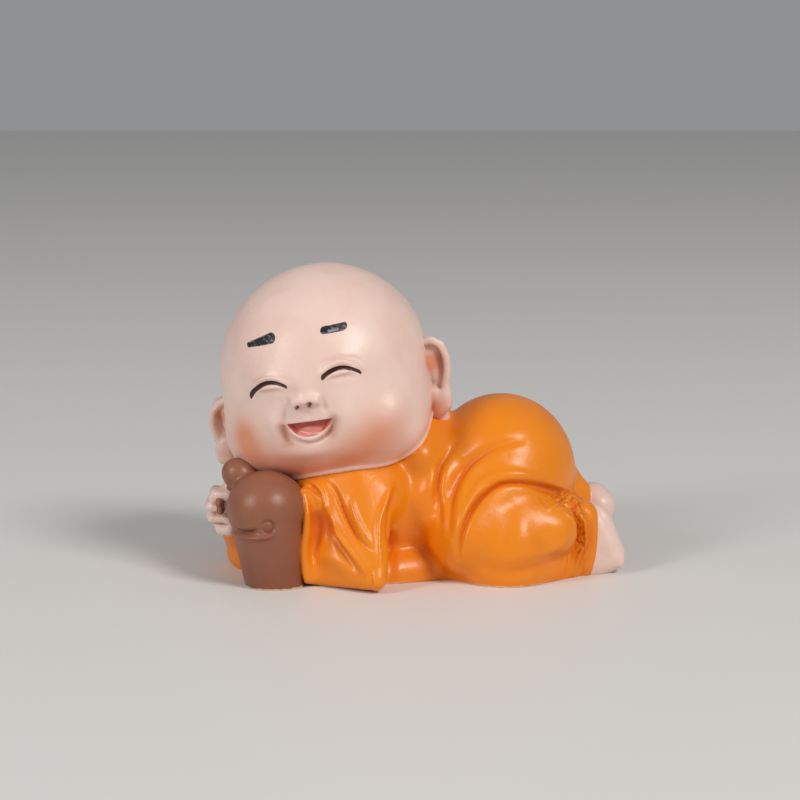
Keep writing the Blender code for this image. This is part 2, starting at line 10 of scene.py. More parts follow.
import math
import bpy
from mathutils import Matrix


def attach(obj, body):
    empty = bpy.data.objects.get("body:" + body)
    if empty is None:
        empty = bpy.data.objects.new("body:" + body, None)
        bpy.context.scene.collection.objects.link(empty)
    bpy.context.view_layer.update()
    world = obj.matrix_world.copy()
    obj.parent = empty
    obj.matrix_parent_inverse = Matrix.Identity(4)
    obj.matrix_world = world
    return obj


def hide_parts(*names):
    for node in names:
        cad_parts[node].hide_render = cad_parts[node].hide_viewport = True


bl_info = {
    "name": "Baby monk figurine",
    "version": (1, 0, 0),
    "blender": (4, 5, 0),
    "location": "View3D > Sidebar > Figurine",
    "description": "Models and paints a small resin figurine of a lying baby monk",
    "category": "Add Mesh",
}

import bmesh
import bpy
import numpy as np
from bpy.props import FloatProperty, FloatVectorProperty, IntProperty, PointerProperty
from mathutils import Matrix, Vector
from mathutils.bvhtree import BVHTree
from mathutils.kdtree import KDTree

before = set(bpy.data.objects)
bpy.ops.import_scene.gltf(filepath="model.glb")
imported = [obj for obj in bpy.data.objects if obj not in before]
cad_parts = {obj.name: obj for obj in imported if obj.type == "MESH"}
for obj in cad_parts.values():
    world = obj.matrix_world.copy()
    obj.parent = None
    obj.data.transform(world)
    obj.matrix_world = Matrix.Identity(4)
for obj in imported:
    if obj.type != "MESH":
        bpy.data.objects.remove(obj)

NODE = "baby_monk_statue"

# Over the fist and the foot, which are 59 units apart
LENGTH = 0.060
UNIT = LENGTH / 59.0

HEAD_HALF_WIDTH = 15.26
HEAD_CENTRE = (-12.7, -3.0, 28.93)
HEAD_TURN = (10.0, -12.4, -12.5)

# Each lash line is a cubic in how far across the eye it is, from -1 to 1: (middle, half width, terms)
LASHES = (
    (-0.300, 0.187, (0.243, 0.035, -0.080, 0.001)),
    (0.382, 0.153, (0.273, -0.014, -0.067, -0.009)),
)
MOUTH_MIDDLE = 0.020
MOUTH_HALF_WIDTH = 0.210
MOUTH_TOP = -0.154
MOUTH_DEPTH = 0.143
# Each brow is a stroke between two round ends: (x, z, radius) twice
BROWS = (((-0.452, 0.545, 0.019), (-0.211, 0.596, 0.041)), ((0.274, 0.590, 0.029), (0.440, 0.574, 0.030)))


# Selecting and adding


def into_object_mode():
    if bpy.context.object and bpy.context.object.mode != "OBJECT":
        bpy.ops.object.mode_set(mode="OBJECT")


def select_only(*objects):
    into_object_mode()
    bpy.ops.object.select_all(action="DESELECT")
    for obj in objects:
        obj.select_set(True)
    bpy.context.view_layer.objects.active = objects[0]


def together(name, objects):
    """The objects joined in one mesh, at the origin."""
    select_only(*objects)
    if len(objects) > 1:
        bpy.ops.object.join()
    whole = bpy.context.object
    whole.name = name
    bpy.ops.object.transform_apply(location=True, rotation=True, scale=True)
    return whole


def modifier(obj, kind, **settings):
    """Adds a modifier, applies it and gives the object back."""
    select_only(obj)
    made = obj.modifiers.new(kind.title(), kind)
    for key, value in settings.items():
        setattr(made, key, value)
    bpy.ops.object.modifier_apply(modifier=made.name)
    return obj


def turned(angles):
    """The matrix that pitches, rolls and turns, by angles in degrees about X, Y and Z."""
    pitch, roll, turn = (math.radians(a) for a in angles)
    return Matrix.Rotation(roll, 4, "Y") @ Matrix.Rotation(pitch, 4, "X") @ Matrix.Rotation(turn, 4, "Z")


HEAD_PLACE = Matrix.Translation(Vector(HEAD_CENTRE) * UNIT) @ turned(HEAD_TURN)


# Clay


def ball(centre, radii, turn=(0.0, 0.0, 0.0), unit=UNIT):
    """An ellipsoid of clay."""
    bpy.ops.object.select_all(action="DESELECT")
    bpy.ops.mesh.primitive_uv_sphere_add(segments=32, ring_count=20, radius=1.0)
    clay = bpy.context.object
    place = Matrix.Translation(Vector(centre) * unit) @ turned(turn)
    clay.matrix_world = place @ Matrix.Diagonal((*(Vector(radii) * unit), 1.0))
    return clay


def hull(balls, unit=UNIT):
    """The tight skin around several balls, each given as (x, y, z, radius)."""
    made = []
    for x, y, z, radius in balls:
        bpy.ops.object.select_all(action="DESELECT")
        bpy.ops.mesh.primitive_uv_sphere_add(
            segments=24, ring_count=14, radius=radius * unit, location=(x * unit, y * unit, z * unit)
        )
        made.append(bpy.context.object)
    clay = together("hull", made)
    bpy.ops.object.mode_set(mode="EDIT")
    bpy.ops.mesh.select_all(action="SELECT")
    bpy.ops.mesh.convex_hull()
    bpy.ops.object.mode_set(mode="OBJECT")
    return clay


def rope(balls, unit=UNIT):
    """Clay that runs through the balls in turn."""
    return [hull([first, second], unit) for first, second in zip(balls, balls[1:])]


def skinned(name, clay, grain, passes):
    """One smooth skin over all the clay. Grain is the mesh width in units, passes the smoothing."""
    skin = together(name, clay)
    modifier(skin, "REMESH", mode="VOXEL", voxel_size=grain * UNIT)
    return modifier(skin, "SMOOTH", factor=0.5, iterations=passes)


# Sculpting by moving points


def points_of(mesh):
    co = np.empty(len(mesh.vertices) * 3, np.float32)
    mesh.vertices.foreach_get("co", co)
    return co.reshape(-1, 3).astype(float)


def set_points(mesh, points):
    mesh.vertices.foreach_set("co", points.astype(np.float32).ravel())
    mesh.update()


def normals_of(mesh):
    normals = np.empty(len(mesh.vertices) * 3, np.float32)
    mesh.vertex_normals.foreach_get("vector", normals)
    return normals.reshape(-1, 3).astype(float)


def eased(low, high, values):
    """0 below low, 1 above high, and a smooth step between."""
    t = np.clip((values - low) / (high - low), 0.0, 1.0)
    return t * t * (3.0 - 2.0 * t)


def curve_through(points, count=80):
    """A smooth curve through the points, sampled along a Catmull-Rom spline."""
    p = np.array(points, float)
    p = np.vstack([2 * p[0] - p[1], p, 2 * p[-1] - p[-2]])
    samples = []
    for at in np.linspace(0.0, len(p) - 3 - 1e-9, count):
        i, t = int(at), at - int(at)
        a, b, c, d = p[i : i + 4]
        samples.append(
            0.5 * (2 * b + (c - a) * t + (2 * a - 5 * b + 4 * c - d) * t**2 + (3 * b - a - 3 * c + d) * t**3)
        )
    return np.array(samples)


def surface_tree(mesh):
    """The mesh's faces, to cast rays at and to measure from."""
    return BVHTree.FromPolygons([v.co for v in mesh.vertices], [p.vertices for p in mesh.polygons])


def drawn_on(mesh, path, side="near", unit=UNIT):
    """Where a line of (x, z) points falls on the mesh, seen from its near (-Y) or far (+Y) side."""
    tree = surface_tree(mesh)
    away, ray = (-LENGTH, Vector((0, 1, 0))) if side == "near" else (LENGTH, Vector((0, -1, 0)))
    found = []
    for x, z in curve_through(path) * unit:
        hit = tree.ray_cast(Vector((x, away, z)), ray)[0]
        if hit is not None:
            found.append(hit)
    return np.array(found)


def add_painted_light(mesh, index, amount):
    """Stores painted shade at the points, up to 1, and painted highlight as amounts down to -1 where paint
    stands proud, in a point attribute that the paints read.
    """
    painted_light = mesh.attributes.get("painted_light") or mesh.attributes.new("painted_light", "FLOAT", "POINT")
    values = np.empty(len(mesh.vertices), np.float32)
    painted_light.data.foreach_get("value", values)
    values[index] = np.minimum(values[index] + amount, 1.0)
    painted_light.data.foreach_set("value", values)


def carve(mesh, line, width, depth, lip=0.0):
    """Presses a groove along the line, deepest at its middle. A negative depth raises a ridge.
    Lip raises what lies on the line's left, as seen from outside, and sinks what lies on its right."""
    points, normals = points_of(mesh), normals_of(mesh)
    reach = 3.0 * width * UNIT
    near = np.all((points > line.min(0) - reach) & (points < line.max(0) + reach), axis=1)
    index = np.nonzero(near)[0]
    gaps = np.linalg.norm(points[index][:, None, :] - line[None], axis=2)
    closest = gaps.argmin(1)
    away = gaps.min(1) / (width * UNIT)
    along = closest / (len(line) - 1.0)
    fade = np.clip(np.sin(math.pi * (0.04 + 0.92 * along)), 0.0, 1.0) ** 0.75
    moved = -depth * np.exp(-(away**2))
    if lip:
        forward = np.gradient(line, axis=0)[closest]
        left = np.cross(normals[index], forward)
        side = np.einsum("ij,ij->i", points[index] - line[closest], left)
        side /= np.linalg.norm(left, axis=1) * width * UNIT
        moved += lip * np.tanh(1.6 * side) * np.exp(-((0.55 * away) ** 2))
    # A pressed groove also gets painted shade, darkest at its middle.
    if depth > 0.0:
        add_painted_light(mesh, index, min(depth, 1.0) * np.exp(-((1.2 * away) ** 2)) * fade)
    points[index] += normals[index] * (moved * fade * UNIT)[:, None]
    set_points(mesh, points)


def swell(mesh, centre, reach, height, tilt=0.0):
    """Raises a soft mound on the front of the face, round (x, z). A negative height presses a hollow."""
    unit = HEAD_HALF_WIDTH * UNIT
    points, normals = points_of(mesh), normals_of(mesh)
    x, z = points[:, 0] / unit - centre[0], points[:, 2] / unit - centre[1]
    turn = math.radians(tilt)
    across = (x * math.cos(turn) + z * math.sin(turn)) / reach[0]
    up = (z * math.cos(turn) - x * math.sin(turn)) / reach[1]
    mound = np.exp(-(across**2) - up**2) * (points[:, 1] < 0)
    set_points(mesh, points + normals * (mound * height * unit)[:, None])


def dimple(mesh, centre, radius, height):
    """A small round bump at a point, or with a negative height a pit. All in units."""
    points, normals = points_of(mesh), normals_of(mesh)
    away = np.linalg.norm(points - np.array(centre), axis=1) / (radius * UNIT)
    set_points(mesh, points + normals * (np.exp(-(away**2)) * height * UNIT)[:, None])


def divide_where(obj, wanted):
    """Divides every face once whose middle is wanted."""
    select_only(obj)
    bpy.ops.object.mode_set(mode="EDIT")
    bpy.ops.mesh.select_mode(type="FACE")
    bpy.ops.mesh.select_all(action="DESELECT")
    mesh = bmesh.from_edit_mesh(obj.data)
    for face in mesh.faces:
        face.select_set(wanted(face.calc_center_median()))
    bmesh.update_edit_mesh(obj.data)
    bpy.ops.mesh.subdivide(number_cuts=1)
    bpy.ops.object.mode_set(mode="OBJECT")


def divide_near(obj, lines, reach):
    """Divides the faces within reach of any of the lines, so that they take a narrow groove."""
    points = np.vstack(lines)
    tree = KDTree(len(points))
    for index, point in enumerate(points):
        tree.insert(point, index)
    tree.balance()
    divide_where(obj, lambda centre: tree.find(centre)[2] < reach * UNIT)


# The robe


def lay_body():
    hips, waist, chest = (12.3, 0.5, 13.4), (3.0, 0.5, 10.5), (-6.0, 0.0, 9.5)
    clay = [
        ball(hips, (10.7, 12.0, 11.4)),
        ball(waist, (12.0, 12.0, 10.8)),
        ball(chest, (12.0, 12.0, 10.0)),
    ]
    tail = [(19.0, 1.0, 12.0, 3.2), (21.9, 1.2, 12.1, 2.2), (21.6, 1.4, 10.0, 2.6), (15.0, 1.0, 14.0, 6.0)]
    breast = [
        (-12.0, -5.0, 13.5, 6.0),
        (-14.0, 4.0, 12.0, 6.0),
        (-12.0, -6.0, 3.0, 4.0),
        (-16.0, 2.0, 2.0, 4.0),
    ]
    armpit = [(-14.5, -8.5, 12.2, 3.2), (-10.0, -8.0, 13.5, 4.0), (-15.0, -8.0, 4.0, 3.0)]
    clay += [hull(balls) for balls in (tail, breast, armpit)]
    for shoulder in ((-6.5, -7.5, 12.0), (-8.0, 9.0, 12.0)):
        clay.append(ball(shoulder, (6.5, 6.5, 6.5)))
    return clay


def lay_underside():
    """What fills the casting down to the table, and behind the fish up to the chin."""
    chest_foot = [(-19.0, 6.0), (-12.0, -8.0), (-4.0, -9.2), (4.6, -5.7), (4.6, 10.0), (-13.0, 10.0)]
    hip_foot = [(4.6, -5.5), (10.5, -9.0), (15.0, -9.0), (20.0, -4.5), (20.0, 4.0), (12.0, 10.0), (4.6, 10.0)]
    behind_fish = [
        (-14.0, -6.0, 10.5, 4.0),
        (-19.5, -6.0, 9.0, 4.0),
        (-21.5, -1.0, 5.0, 3.5),
        (-14.0, 0.0, 1.0, 4.0),
        (-19.5, -7.5, 0.5, 4.0),
    ]
    feet = [hull([(x, y, 0.5, 4.0) for x, y in corners]) for corners in (chest_foot, hip_foot)]
    return [*feet, hull(behind_fish)]


HEM = (
    (22.3, -6.6, 10.6),
    (23.6, -7.9, 7.9),
    (23.8, -8.1, 6.3),
    (23.7, -8.1, 4.7),
    (22.7, -8.5, 2.9),
    (22.2, -8.7, 0.2),
)


def lay_legs():
    """Knees on the ground at each side, and the shins run back to two wide cuffs."""
    return [
        hull([(12.0, -6.0, 12.0, 7.0), (7.5, -10.0, 6.5, 6.0)]),
        ball((12.7, -8.6, 4.4), (7.3, 8.0, 8.8)),
        hull([(13.5, -9.0, 7.6, 5.8), (18.5, -9.8, 6.9, 4.2)]),
        hull([(14.0, -8.6, 2.4, 6.0), (20.6, -5.6, 1.6, 3.6)]),
        hull([(19.0, -4.5, 6.0, 5.0), (22.6, -4.6, 7.2, 3.7), (23.0, -4.8, 2.0, 3.6)]),
        hull([(12.0, 7.0, 12.0, 7.0), (9.0, 10.5, 6.5, 6.0)]),
        ball((13.5, 10.6, 4.5), (8.4, 7.2, 8.6)),
        hull([(16.0, 8.0, 6.0, 5.5), (22.2, 3.5, 9.2, 3.6), (22.4, 3.0, 3.0, 3.2)]),
        hull([(17.0, 0.0, 8.0, 5.0), (22.9, 1.0, 10.0, 2.7), (22.0, 0.0, 3.5, 3.4)]),
        *rope([(x, y, z, 0.5) for x, y, z in HEM]),
    ]


SLEEVE_HEM = (
    (-15.8, -13.4, 13.2),
    (-14.9, -14.8, 10.6),
    (-15.1, -15.1, 7.6),
    (-15.6, -15.0, 5.5),
    (-15.3, -15.0, 2.7),
    (-15.0, -14.8, 0.9),
)


def lay_sleeves():
    """The near sleeve hangs from the shoulder to a point on the ground. The far one reaches to the mallet."""
    near = [
        (-14.6, -11.5, 13.0, 1.5),
        (-8.0, -11.0, 15.0, 2.5),
        (-4.5, -12.5, 13.0, 1.6),
        (-5.2, -19.0, 1.6, 1.3),
        (-14.3, -12.8, 1.2, 1.4),
        (-8.0, -8.0, 1.5, 2.0),
    ]
    return [
        hull(near),
        *rope([(x, y, z, 0.85) for x, y, z in SLEEVE_HEM]),
        *rope([(-8.0, 9.0, 12.5, 5.4), (-17.5, 12.6, 5.0, 5.4), (-24.0, -1.5, 6.5, 3.6)]),
        hull([(-24.4, -2.5, 6.0, 3.2), (-24.9, 1.0, 4.4, 2.9), (-19.0, 6.0, 3.0, 4.0)]),
        *rope([(-24.0, -2.0, 1.4, 2.2), (-25.2, 1.5, 1.5, 2.2), (-21.5, 7.5, 1.6, 2.6)]),
    ]


def lay_collar():
    """The neck of the robe, a soft roll round the nape."""
    nape = [(0.5, -7.5, 17.0, 3.0), (1.6, 0.0, 20.6, 3.8)]
    far_side = [(-1.5, 7.0, 17.6, 4.4), (-9.0, 9.0, 13.0, 5.0)]
    return rope(nape + far_side)


FOLDS = {
    # Each is (side, path, width, depth, lip): a groove, or with a negative depth a ridge
    "under the arm": ("near", [(5.3, 18.6), (3.5, 15.9), (3.0, 12.9), (3.2, 9.3)], 0.55, 0.85, 0.15),
    "below the arm": ("near", [(3.2, 10.5), (3.1, 7.0), (3.0, 2.0)], 1.6, 0.40, 0.0),
    "chest roll": ("near", [(2.8, 16.1), (2.2, 14.4), (1.5, 12.7), (1.1, 10.7)], 0.75, -0.30, 0.0),
    "waist": (
        "near",
        [(14.7, 19.6), (11.2, 18.8), (8.1, 16.9), (6.0, 14.4), (4.9, 11.5), (4.5, 7.8)],
        0.70,
        0.70,
        0.28,
    ),
    "waist roll": ("near", [(11.5, 17.8), (8.1, 15.4), (6.4, 12.3), (5.6, 8.8)], 0.80, -0.25, 0.0),
    "thigh roll": (
        "near",
        [(12.0, 15.6), (10.1, 14.9), (8.5, 13.6), (6.5, 10.3), (5.5, 7.6)],
        0.60,
        -0.35,
        0.0,
    ),
    "thigh": (
        "near",
        [
            (21.3, 11.5),
            (18.3, 13.0),
            (15.2, 14.1),
            (11.8, 14.2),
            (9.1, 12.6),
            (7.1, 9.8),
            (6.0, 6.7),
            (5.7, 4.0),
        ],
        0.36,
        1.05,
        -0.20,
    ),
    "thigh end": ("near", [(16.0, 13.6), (18.3, 12.8), (19.9, 12.0), (21.6, 11.3)], 0.50, 0.70, 0.0),
    "overhang": (
        "near",
        [(11.6, 15.4), (13.9, 15.4), (16.1, 14.9), (18.2, 14.1), (20.2, 13.0)],
        0.60,
        -0.40,
        0.0,
    ),
    "knee": ("near", [(13.4, 12.0), (12.8, 9.5), (12.3, 6.9), (12.0, 4.5)], 1.6, 0.40, 0.0),
    "shin": ("near", [(16.3, 4.5), (18.3, 4.8), (19.9, 5.4), (21.0, 6.4)], 0.65, -0.35, 0.0),
    "under the shin": (
        "near",
        [(8.5, 3.2), (11.5, 2.5), (14.3, 2.6), (17.1, 3.0), (19.5, 3.2), (21.0, 3.8)],
        1.3,
        0.50,
        0.0,
    ),
    "gather": (
        "near",
        [(21.6, 9.9), (22.5, 8.6), (22.9, 6.9), (22.8, 5.2), (21.9, 3.7), (21.2, 0.6)],
        0.36,
        0.85,
        0.0,
    ),
    "hem": ("near", [(x, z) for x, _, z in HEM], 0.24, -0.60, 0.0),
    "in the cuff": (
        "near",
        [(23.4, 10.2), (24.5, 8.0), (24.7, 6.2), (24.6, 4.4), (23.6, 2.2), (23.2, 0.2)],
        0.45,
        0.62,
        0.0,
    ),
    "cuff tuck": ("near", [(18.4, 10.5), (20.3, 11.0), (21.9, 11.1), (23.8, 11.0)], 0.32, -0.40, 0.0),
    "cuff pleat": ("near", [(19.6, 10.4), (20.9, 10.2), (22.0, 9.6), (23.0, 8.6)], 0.30, -0.36, 0.0),
    "cuff crinkle": ("near", [(20.6, 9.9), (21.6, 8.9), (22.3, 7.5)], 0.28, -0.30, 0.0),
    "seat": ("near", [(21.0, 18.6), (21.2, 16.8), (21.5, 15.0), (22.4, 13.0)], 0.70, 0.22, 0.0),
    "sleeve mouth": (
        "near",
        [(-14.2, 11.7), (-13.8, 9.9), (-13.6, 7.9), (-13.8, 6.0), (-14.1, 4.0)],
        0.60,
        0.75,
        0.0,
    ),
    "inside the sleeve": ("near", [(-13.2, 10.9), (-12.7, 9.4), (-12.4, 7.9), (-12.7, 6.6)], 1.30, 0.90, 0.0),
    "sleeve bottom": ("near", [(-13.6, 3.2), (-12.2, 4.3), (-10.7, 3.9), (-9.1, 2.6)], 1.10, -0.50, 0.0),
    "sleeve front": (
        "near",
        [(-15.0, 14.6), (-13.1, 13.4), (-12.1, 10.3), (-10.6, 7.6), (-8.7, 5.3), (-6.8, 3.0)],
        0.42,
        -0.62,
        0.0,
    ),
    "under the front": (
        "near",
        [(-12.9, 11.0), (-12.3, 8.9), (-10.9, 6.6), (-9.4, 4.8), (-8.0, 3.2)],
        0.50,
        0.50,
        0.0,
    ),
    "sleeve pleat": ("near", [(-16.2, 13.2), (-15.1, 13.3), (-13.7, 12.4), (-12.9, 10.4)], 0.32, -0.35, 0.0),
    "pleat hollow": ("near", [(-15.1, 14.1), (-14.2, 13.5), (-13.3, 12.6)], 0.36, 0.40, 0.0),
    "sleeve groove": (
        "near",
        [(-12.0, 14.4), (-10.9, 12.9), (-10.0, 10.9), (-9.0, 9.0), (-7.9, 7.3), (-6.3, 5.8)],
        0.34,
        0.80,
        0.0,
    ),
    "sleeve middle": ("near", [(-8.9, 12.6), (-8.5, 10.9), (-7.6, 8.8), (-6.2, 6.8)], 0.45, -0.42, 0.0),
    "sleeve back": (
        "near",
        [(-3.3, 13.9), (-4.1, 12.1), (-5.0, 9.6), (-5.1, 7.0), (-4.9, 4.1)],
        0.42,
        -0.50,
        0.0,
    ),
    "behind the sleeve": ("near", [(-2.6, 13.5), (-3.3, 10.9), (-3.6, 7.2), (-3.6, 0.5)], 0.80, 0.90, 0.0),
    "sleeve tip": ("near", [(-6.0, 3.6), (-6.2, 2.0), (-6.2, 0.3)], 0.30, 0.22, 0.0),
    "far thigh": ("far", [(20.0, 12.5), (15.0, 14.0), (10.5, 13.0), (7.0, 9.0), (5.4, 4.0)], 0.9, 1.5, 0.4),
    "far arm": ("far", [(4.5, 18.5), (2.0, 14.0), (1.0, 8.0)], 0.9, 1.0, 0.2),
    "far waist": ("far", [(12.0, 19.0), (7.0, 16.0), (4.0, 10.0)], 0.9, 0.7, 0.2),
    "far sleeve": ("far", [(-4.0, 15.0), (-10.0, 10.0), (-17.0, 3.0)], 0.8, 0.8, 0.2),
    "far sleeve groove": ("far", [(-6.0, 12.0), (-11.0, 8.5), (-15.5, 2.5)], 0.45, 0.6, 0.0),
    "far elbow": ("far", [(-12.0, 12.5), (-18.0, 9.0), (-22.5, 5.5)], 0.7, 0.6, 0.2),
}

LUMPS = (
    # Blisters in the gathered cloth and one pit, as (x, y, z, radius, height)
    (18.4, -9.8, 10.6, 0.30, 0.30),
    (19.2, -9.1, 10.9, 0.34, 0.30),
    (20.0, -8.3, 11.2, 0.28, 0.28),
    (20.6, -7.8, 11.7, 0.26, 0.32),
    (21.2, -7.0, 11.5, 0.32, 0.34),
    (21.9, -6.2, 12.0, 0.28, 0.32),
    (22.5, -5.8, 11.6, 0.26, 0.28),
    (22.3, -8.6, 7.3, 0.40, -0.60),
    (21.4, -9.8, 9.7, 0.35, -0.40),
)


def model_robe(grain):
    clay = [*lay_body(), *lay_underside(), *lay_legs(), *lay_sleeves(), *lay_collar()]
    robe = skinned("robe", clay, grain, round(8 / grain**1.5))
    folds = [(drawn_on(robe.data, path, side), *form) for side, path, *form in FOLDS.values()]
    divide_near(robe, [line for line, width, *_ in folds if width < 1.6 * grain], 2.5 * grain)
    for line, width, depth, lip in folds:
        carve(robe.data, line, width, depth, lip)
    for x, y, z, radius, height in LUMPS:
        dimple(robe.data, (x * UNIT, y * UNIT, z * UNIT), radius, height)
    return modifier(robe, "SMOOTH", factor=0.5, iterations=1)


# The head


def head_radius(ways):
    """How far the head reaches along unit vectors of its own frame: round, with square jowls in front."""
    x, y, z = ways.T
    power = 2.0 + 0.886 * eased(0.15, -0.6, z) * eased(0.6, 0.0, y)
    tall = np.where(z > 0.0, 0.955, 0.877)
    sides = np.abs(x / 0.976) ** power + np.abs(y / 1.008) ** power + np.abs(z / tall) ** power
    radius = sides ** (-1.0 / power)
    for centre, spread, height in (
        ((0.784, -0.5, -0.534), 0.35, 0.082),
        ((-0.784, -0.5, -0.534), 0.35, 0.082),
        ((0.0, 0.75, 0.65), 0.7, 0.028),
    ):
        towards = np.array(centre) / np.linalg.norm(centre)
        angle = np.arccos(np.clip(ways @ towards, -1.0, 1.0))
        radius += height * np.exp(-((angle / spread) ** 2))
    return radius - 0.015 * np.exp(-(((z + 0.05) / 0.25) ** 2))


def lash(side, at):
    """The smiling lash line of one eye (side 0 or 1), as (x, z), at -1 to 1 across it."""
    middle, half, terms = LASHES[side]
    return middle + half * at, sum(term * at**power for power, term in enumerate(terms))


def lash_line(side, start, end, lift, bow=0.0):
    """Points along the lash line, moved up by lift, and by bow more in the middle."""
    points = []
    for at in np.linspace(start, end, 7):
        x, z = lash(side, at)
        points.append((x, z + lift + bow * (1.0 - at * at)))
    return points


LID_FOLDS = (
    [(-0.540, 0.138), (-0.458, 0.235), (-0.356, 0.303), (-0.251, 0.318), (-0.172, 0.296), (-0.105, 0.254)],
    [
        (0.215, 0.304),
        (0.235, 0.342),
        (0.303, 0.360),
        (0.388, 0.361),
        (0.455, 0.337),
        (0.519, 0.306),
        (0.570, 0.241),
    ],
)


def face_line(face, path):
    return drawn_on(face, path, unit=HEAD_HALF_WIDTH * UNIT)


def shape_eye(face, side):
    """A full lid over a smiling lash line, the fold above it, and the lens of the eyeball under it."""
    middle, half, terms = LASHES[side]
    swell(face, (middle, terms[0] + 0.005), (half * 1.25, 0.12), 0.020)
    swell(face, (middle, terms[0] - 0.045), (half * 0.8, 0.034), 0.020)
    carve(face, face_line(face, lash_line(side, -1.12, 1.05, 0.038, 0.010)), 0.48, -0.46)
    carve(face, face_line(face, LID_FOLDS[side]), 0.30, 0.24)
    carve(face, face_line(face, lash_line(side, -1.0, 1.0, 0.0)), 0.21, 0.44)
    carve(face, face_line(face, lash_line(side, -0.7, 0.8, -0.052, -0.028)), 0.42, 0.20)


def shape_nose(face):
    swell(face, (0.030, 0.17), (0.075, 0.12), 0.026)
    swell(face, (0.034, 0.062), (0.088, 0.058), 0.066)
    for side in (-1, 1):
        swell(face, (0.034 + 0.098 * side, 0.040), (0.040, 0.042), 0.042)
        swell(face, (0.034 + 0.160 * side, 0.020), (0.026, 0.060), -0.016)
    for centre, reach in (((-0.051, -0.006), (0.012, 0.024)), ((0.067, 0.009), (0.018, 0.028))):
        swell(face, centre, reach, -0.065, tilt=-35.0)


def mouth_edges(at):
    """The upper and lower edge of the open smile, by how far across it is from -1 to 1."""
    open_there = np.clip(1.0 - at**2, 0.0, 1.0)
    upper = MOUTH_TOP - 0.003 * at
    return upper, upper - MOUTH_DEPTH * open_there**0.65 * (1.0 - 0.2 * at)


MOUTH_FOLDS = (
    # Each is a groove: (path in half head widths, width and depth in units)
    ([(-0.160, 0.040), (-0.184, -0.035), (-0.200, -0.100), (-0.210, -0.150)], 0.50, 0.26),
    ([(0.171, 0.000), (0.182, -0.050), (0.200, -0.090)], 0.45, 0.18),
    ([(-0.222, -0.150), (-0.238, -0.215), (-0.238, -0.284), (-0.222, -0.345)], 0.62, 0.56),
    ([(-0.190, -0.262), (-0.138, -0.310), (-0.076, -0.342), (-0.006, -0.366), (0.078, -0.350)], 0.36, 0.28),
    (
        [
            (0.040, -0.358),
            (0.110, -0.332),
            (0.159, -0.300),
            (0.195, -0.262),
            (0.222, -0.212),
            (0.240, -0.165),
        ],
        0.38,
        0.52,
    ),
)


def shape_mouth(face):
    """An open smile: a nearly straight upper lip, a round lower one, and the tongue in the hollow."""
    unit = HEAD_HALF_WIDTH * UNIT
    for side in (-1, 1):
        swell(face, (MOUTH_MIDDLE + 0.33 * side, -0.15), (0.10, 0.13), 0.022)
    swell(face, (0.740, -0.250), (0.120, 0.130), 0.034)
    for path, width, depth in MOUTH_FOLDS:
        carve(face, face_line(face, path), width, depth)
    lower_lip = []
    for at in np.linspace(-0.9, 0.93, 9):
        lower_lip.append((MOUTH_MIDDLE + MOUTH_HALF_WIDTH * at, mouth_edges(at)[1] - 0.022))
    carve(face, face_line(face, lower_lip), 0.30, -0.26)
    points, normals = points_of(face), normals_of(face)
    x, z = (points[:, 0] / unit - MOUTH_MIDDLE) / MOUTH_HALF_WIDTH, points[:, 2] / unit
    upper, lower = mouth_edges(x)
    inside = np.minimum(upper - z, z - lower) * (points[:, 1] < 0) * (np.abs(x) < 1.0)
    hollow = eased(-0.002, 0.034, inside) * 0.062
    mound = np.exp(-(((x + 0.1) / 0.55) ** 2) - ((z + 0.270) / 0.055) ** 2)
    tongue = mound * eased(0.0, 0.02, inside) * 0.040
    set_points(face, points - normals * ((hollow - tongue) * unit)[:, None])
    swell(face, (-0.06, -0.450), (0.20, 0.070), 0.026)
    swell(face, (MOUTH_MIDDLE, -0.085), (0.030, 0.045), -0.010)


def shape_face(face):
    for side in (0, 1):
        shape_eye(face, side)
    shape_nose(face)
    shape_mouth(face)


def model_head():
    """A ball, finest round the eyes, nose and mouth, brought to the head's form and set in its place."""
    bpy.ops.object.select_all(action="DESELECT")
    bpy.ops.mesh.primitive_ico_sphere_add(subdivisions=6, radius=1.0)
    head = bpy.context.object
    head.name = "head"
    divide_where(head, lambda c: c.y < 0 and abs(c.x - 0.03) < 0.72 and -0.62 < c.z < 0.50)
    divide_where(head, lambda c: c.y < 0 and abs(c.x - 0.03) < 0.60 and -0.46 < c.z < 0.42)
    ways = points_of(head.data)
    ways /= np.linalg.norm(ways, axis=1)[:, None]
    unit = HEAD_HALF_WIDTH * UNIT
    set_points(head.data, ways * (head_radius(ways) * unit)[:, None])
    shape_face(head.data)
    head.data.transform(HEAD_PLACE)
    return head


EARS = {
    # Each is (the shell's middle, the rim's path from top to lobe, the lobe's balls), as (x, z[, radius])
    "right": (
        (1.02, -0.10),
        [
            (0.93, 0.10),
            (1.03, 0.11),
            (1.11, 0.05),
            (1.135, -0.08),
            (1.11, -0.22),
            (1.065, -0.33),
            (1.075, -0.42),
        ],
        [(1.05, -0.43, 0.062), (1.035, -0.53, 0.062), (0.97, -0.56, 0.075), (0.955, -0.40, 0.06)],
    ),
    "left": (
        (-1.12, -0.36),
        [(-0.98, -0.16), (-1.10, -0.20), (-1.185, -0.28), (-1.215, -0.41), (-1.195, -0.55), (-1.165, -0.63)],
        [(-1.19, -0.66, 0.062), (-1.185, -0.74, 0.066), (-1.11, -0.76, 0.075), (-1.09, -0.56, 0.06)],
    ),
}


EAR_GROOVES = (
    # Inside each rim, as (x, z)
    [(0.96, 0.05), (1.02, 0.045), (1.075, 0.00), (1.085, -0.09), (1.06, -0.20), (1.02, -0.31), (1.01, -0.40)],
    [(-1.06, -0.25), (-1.12, -0.29), (-1.135, -0.40), (-1.12, -0.53), (-1.09, -0.62)],
)


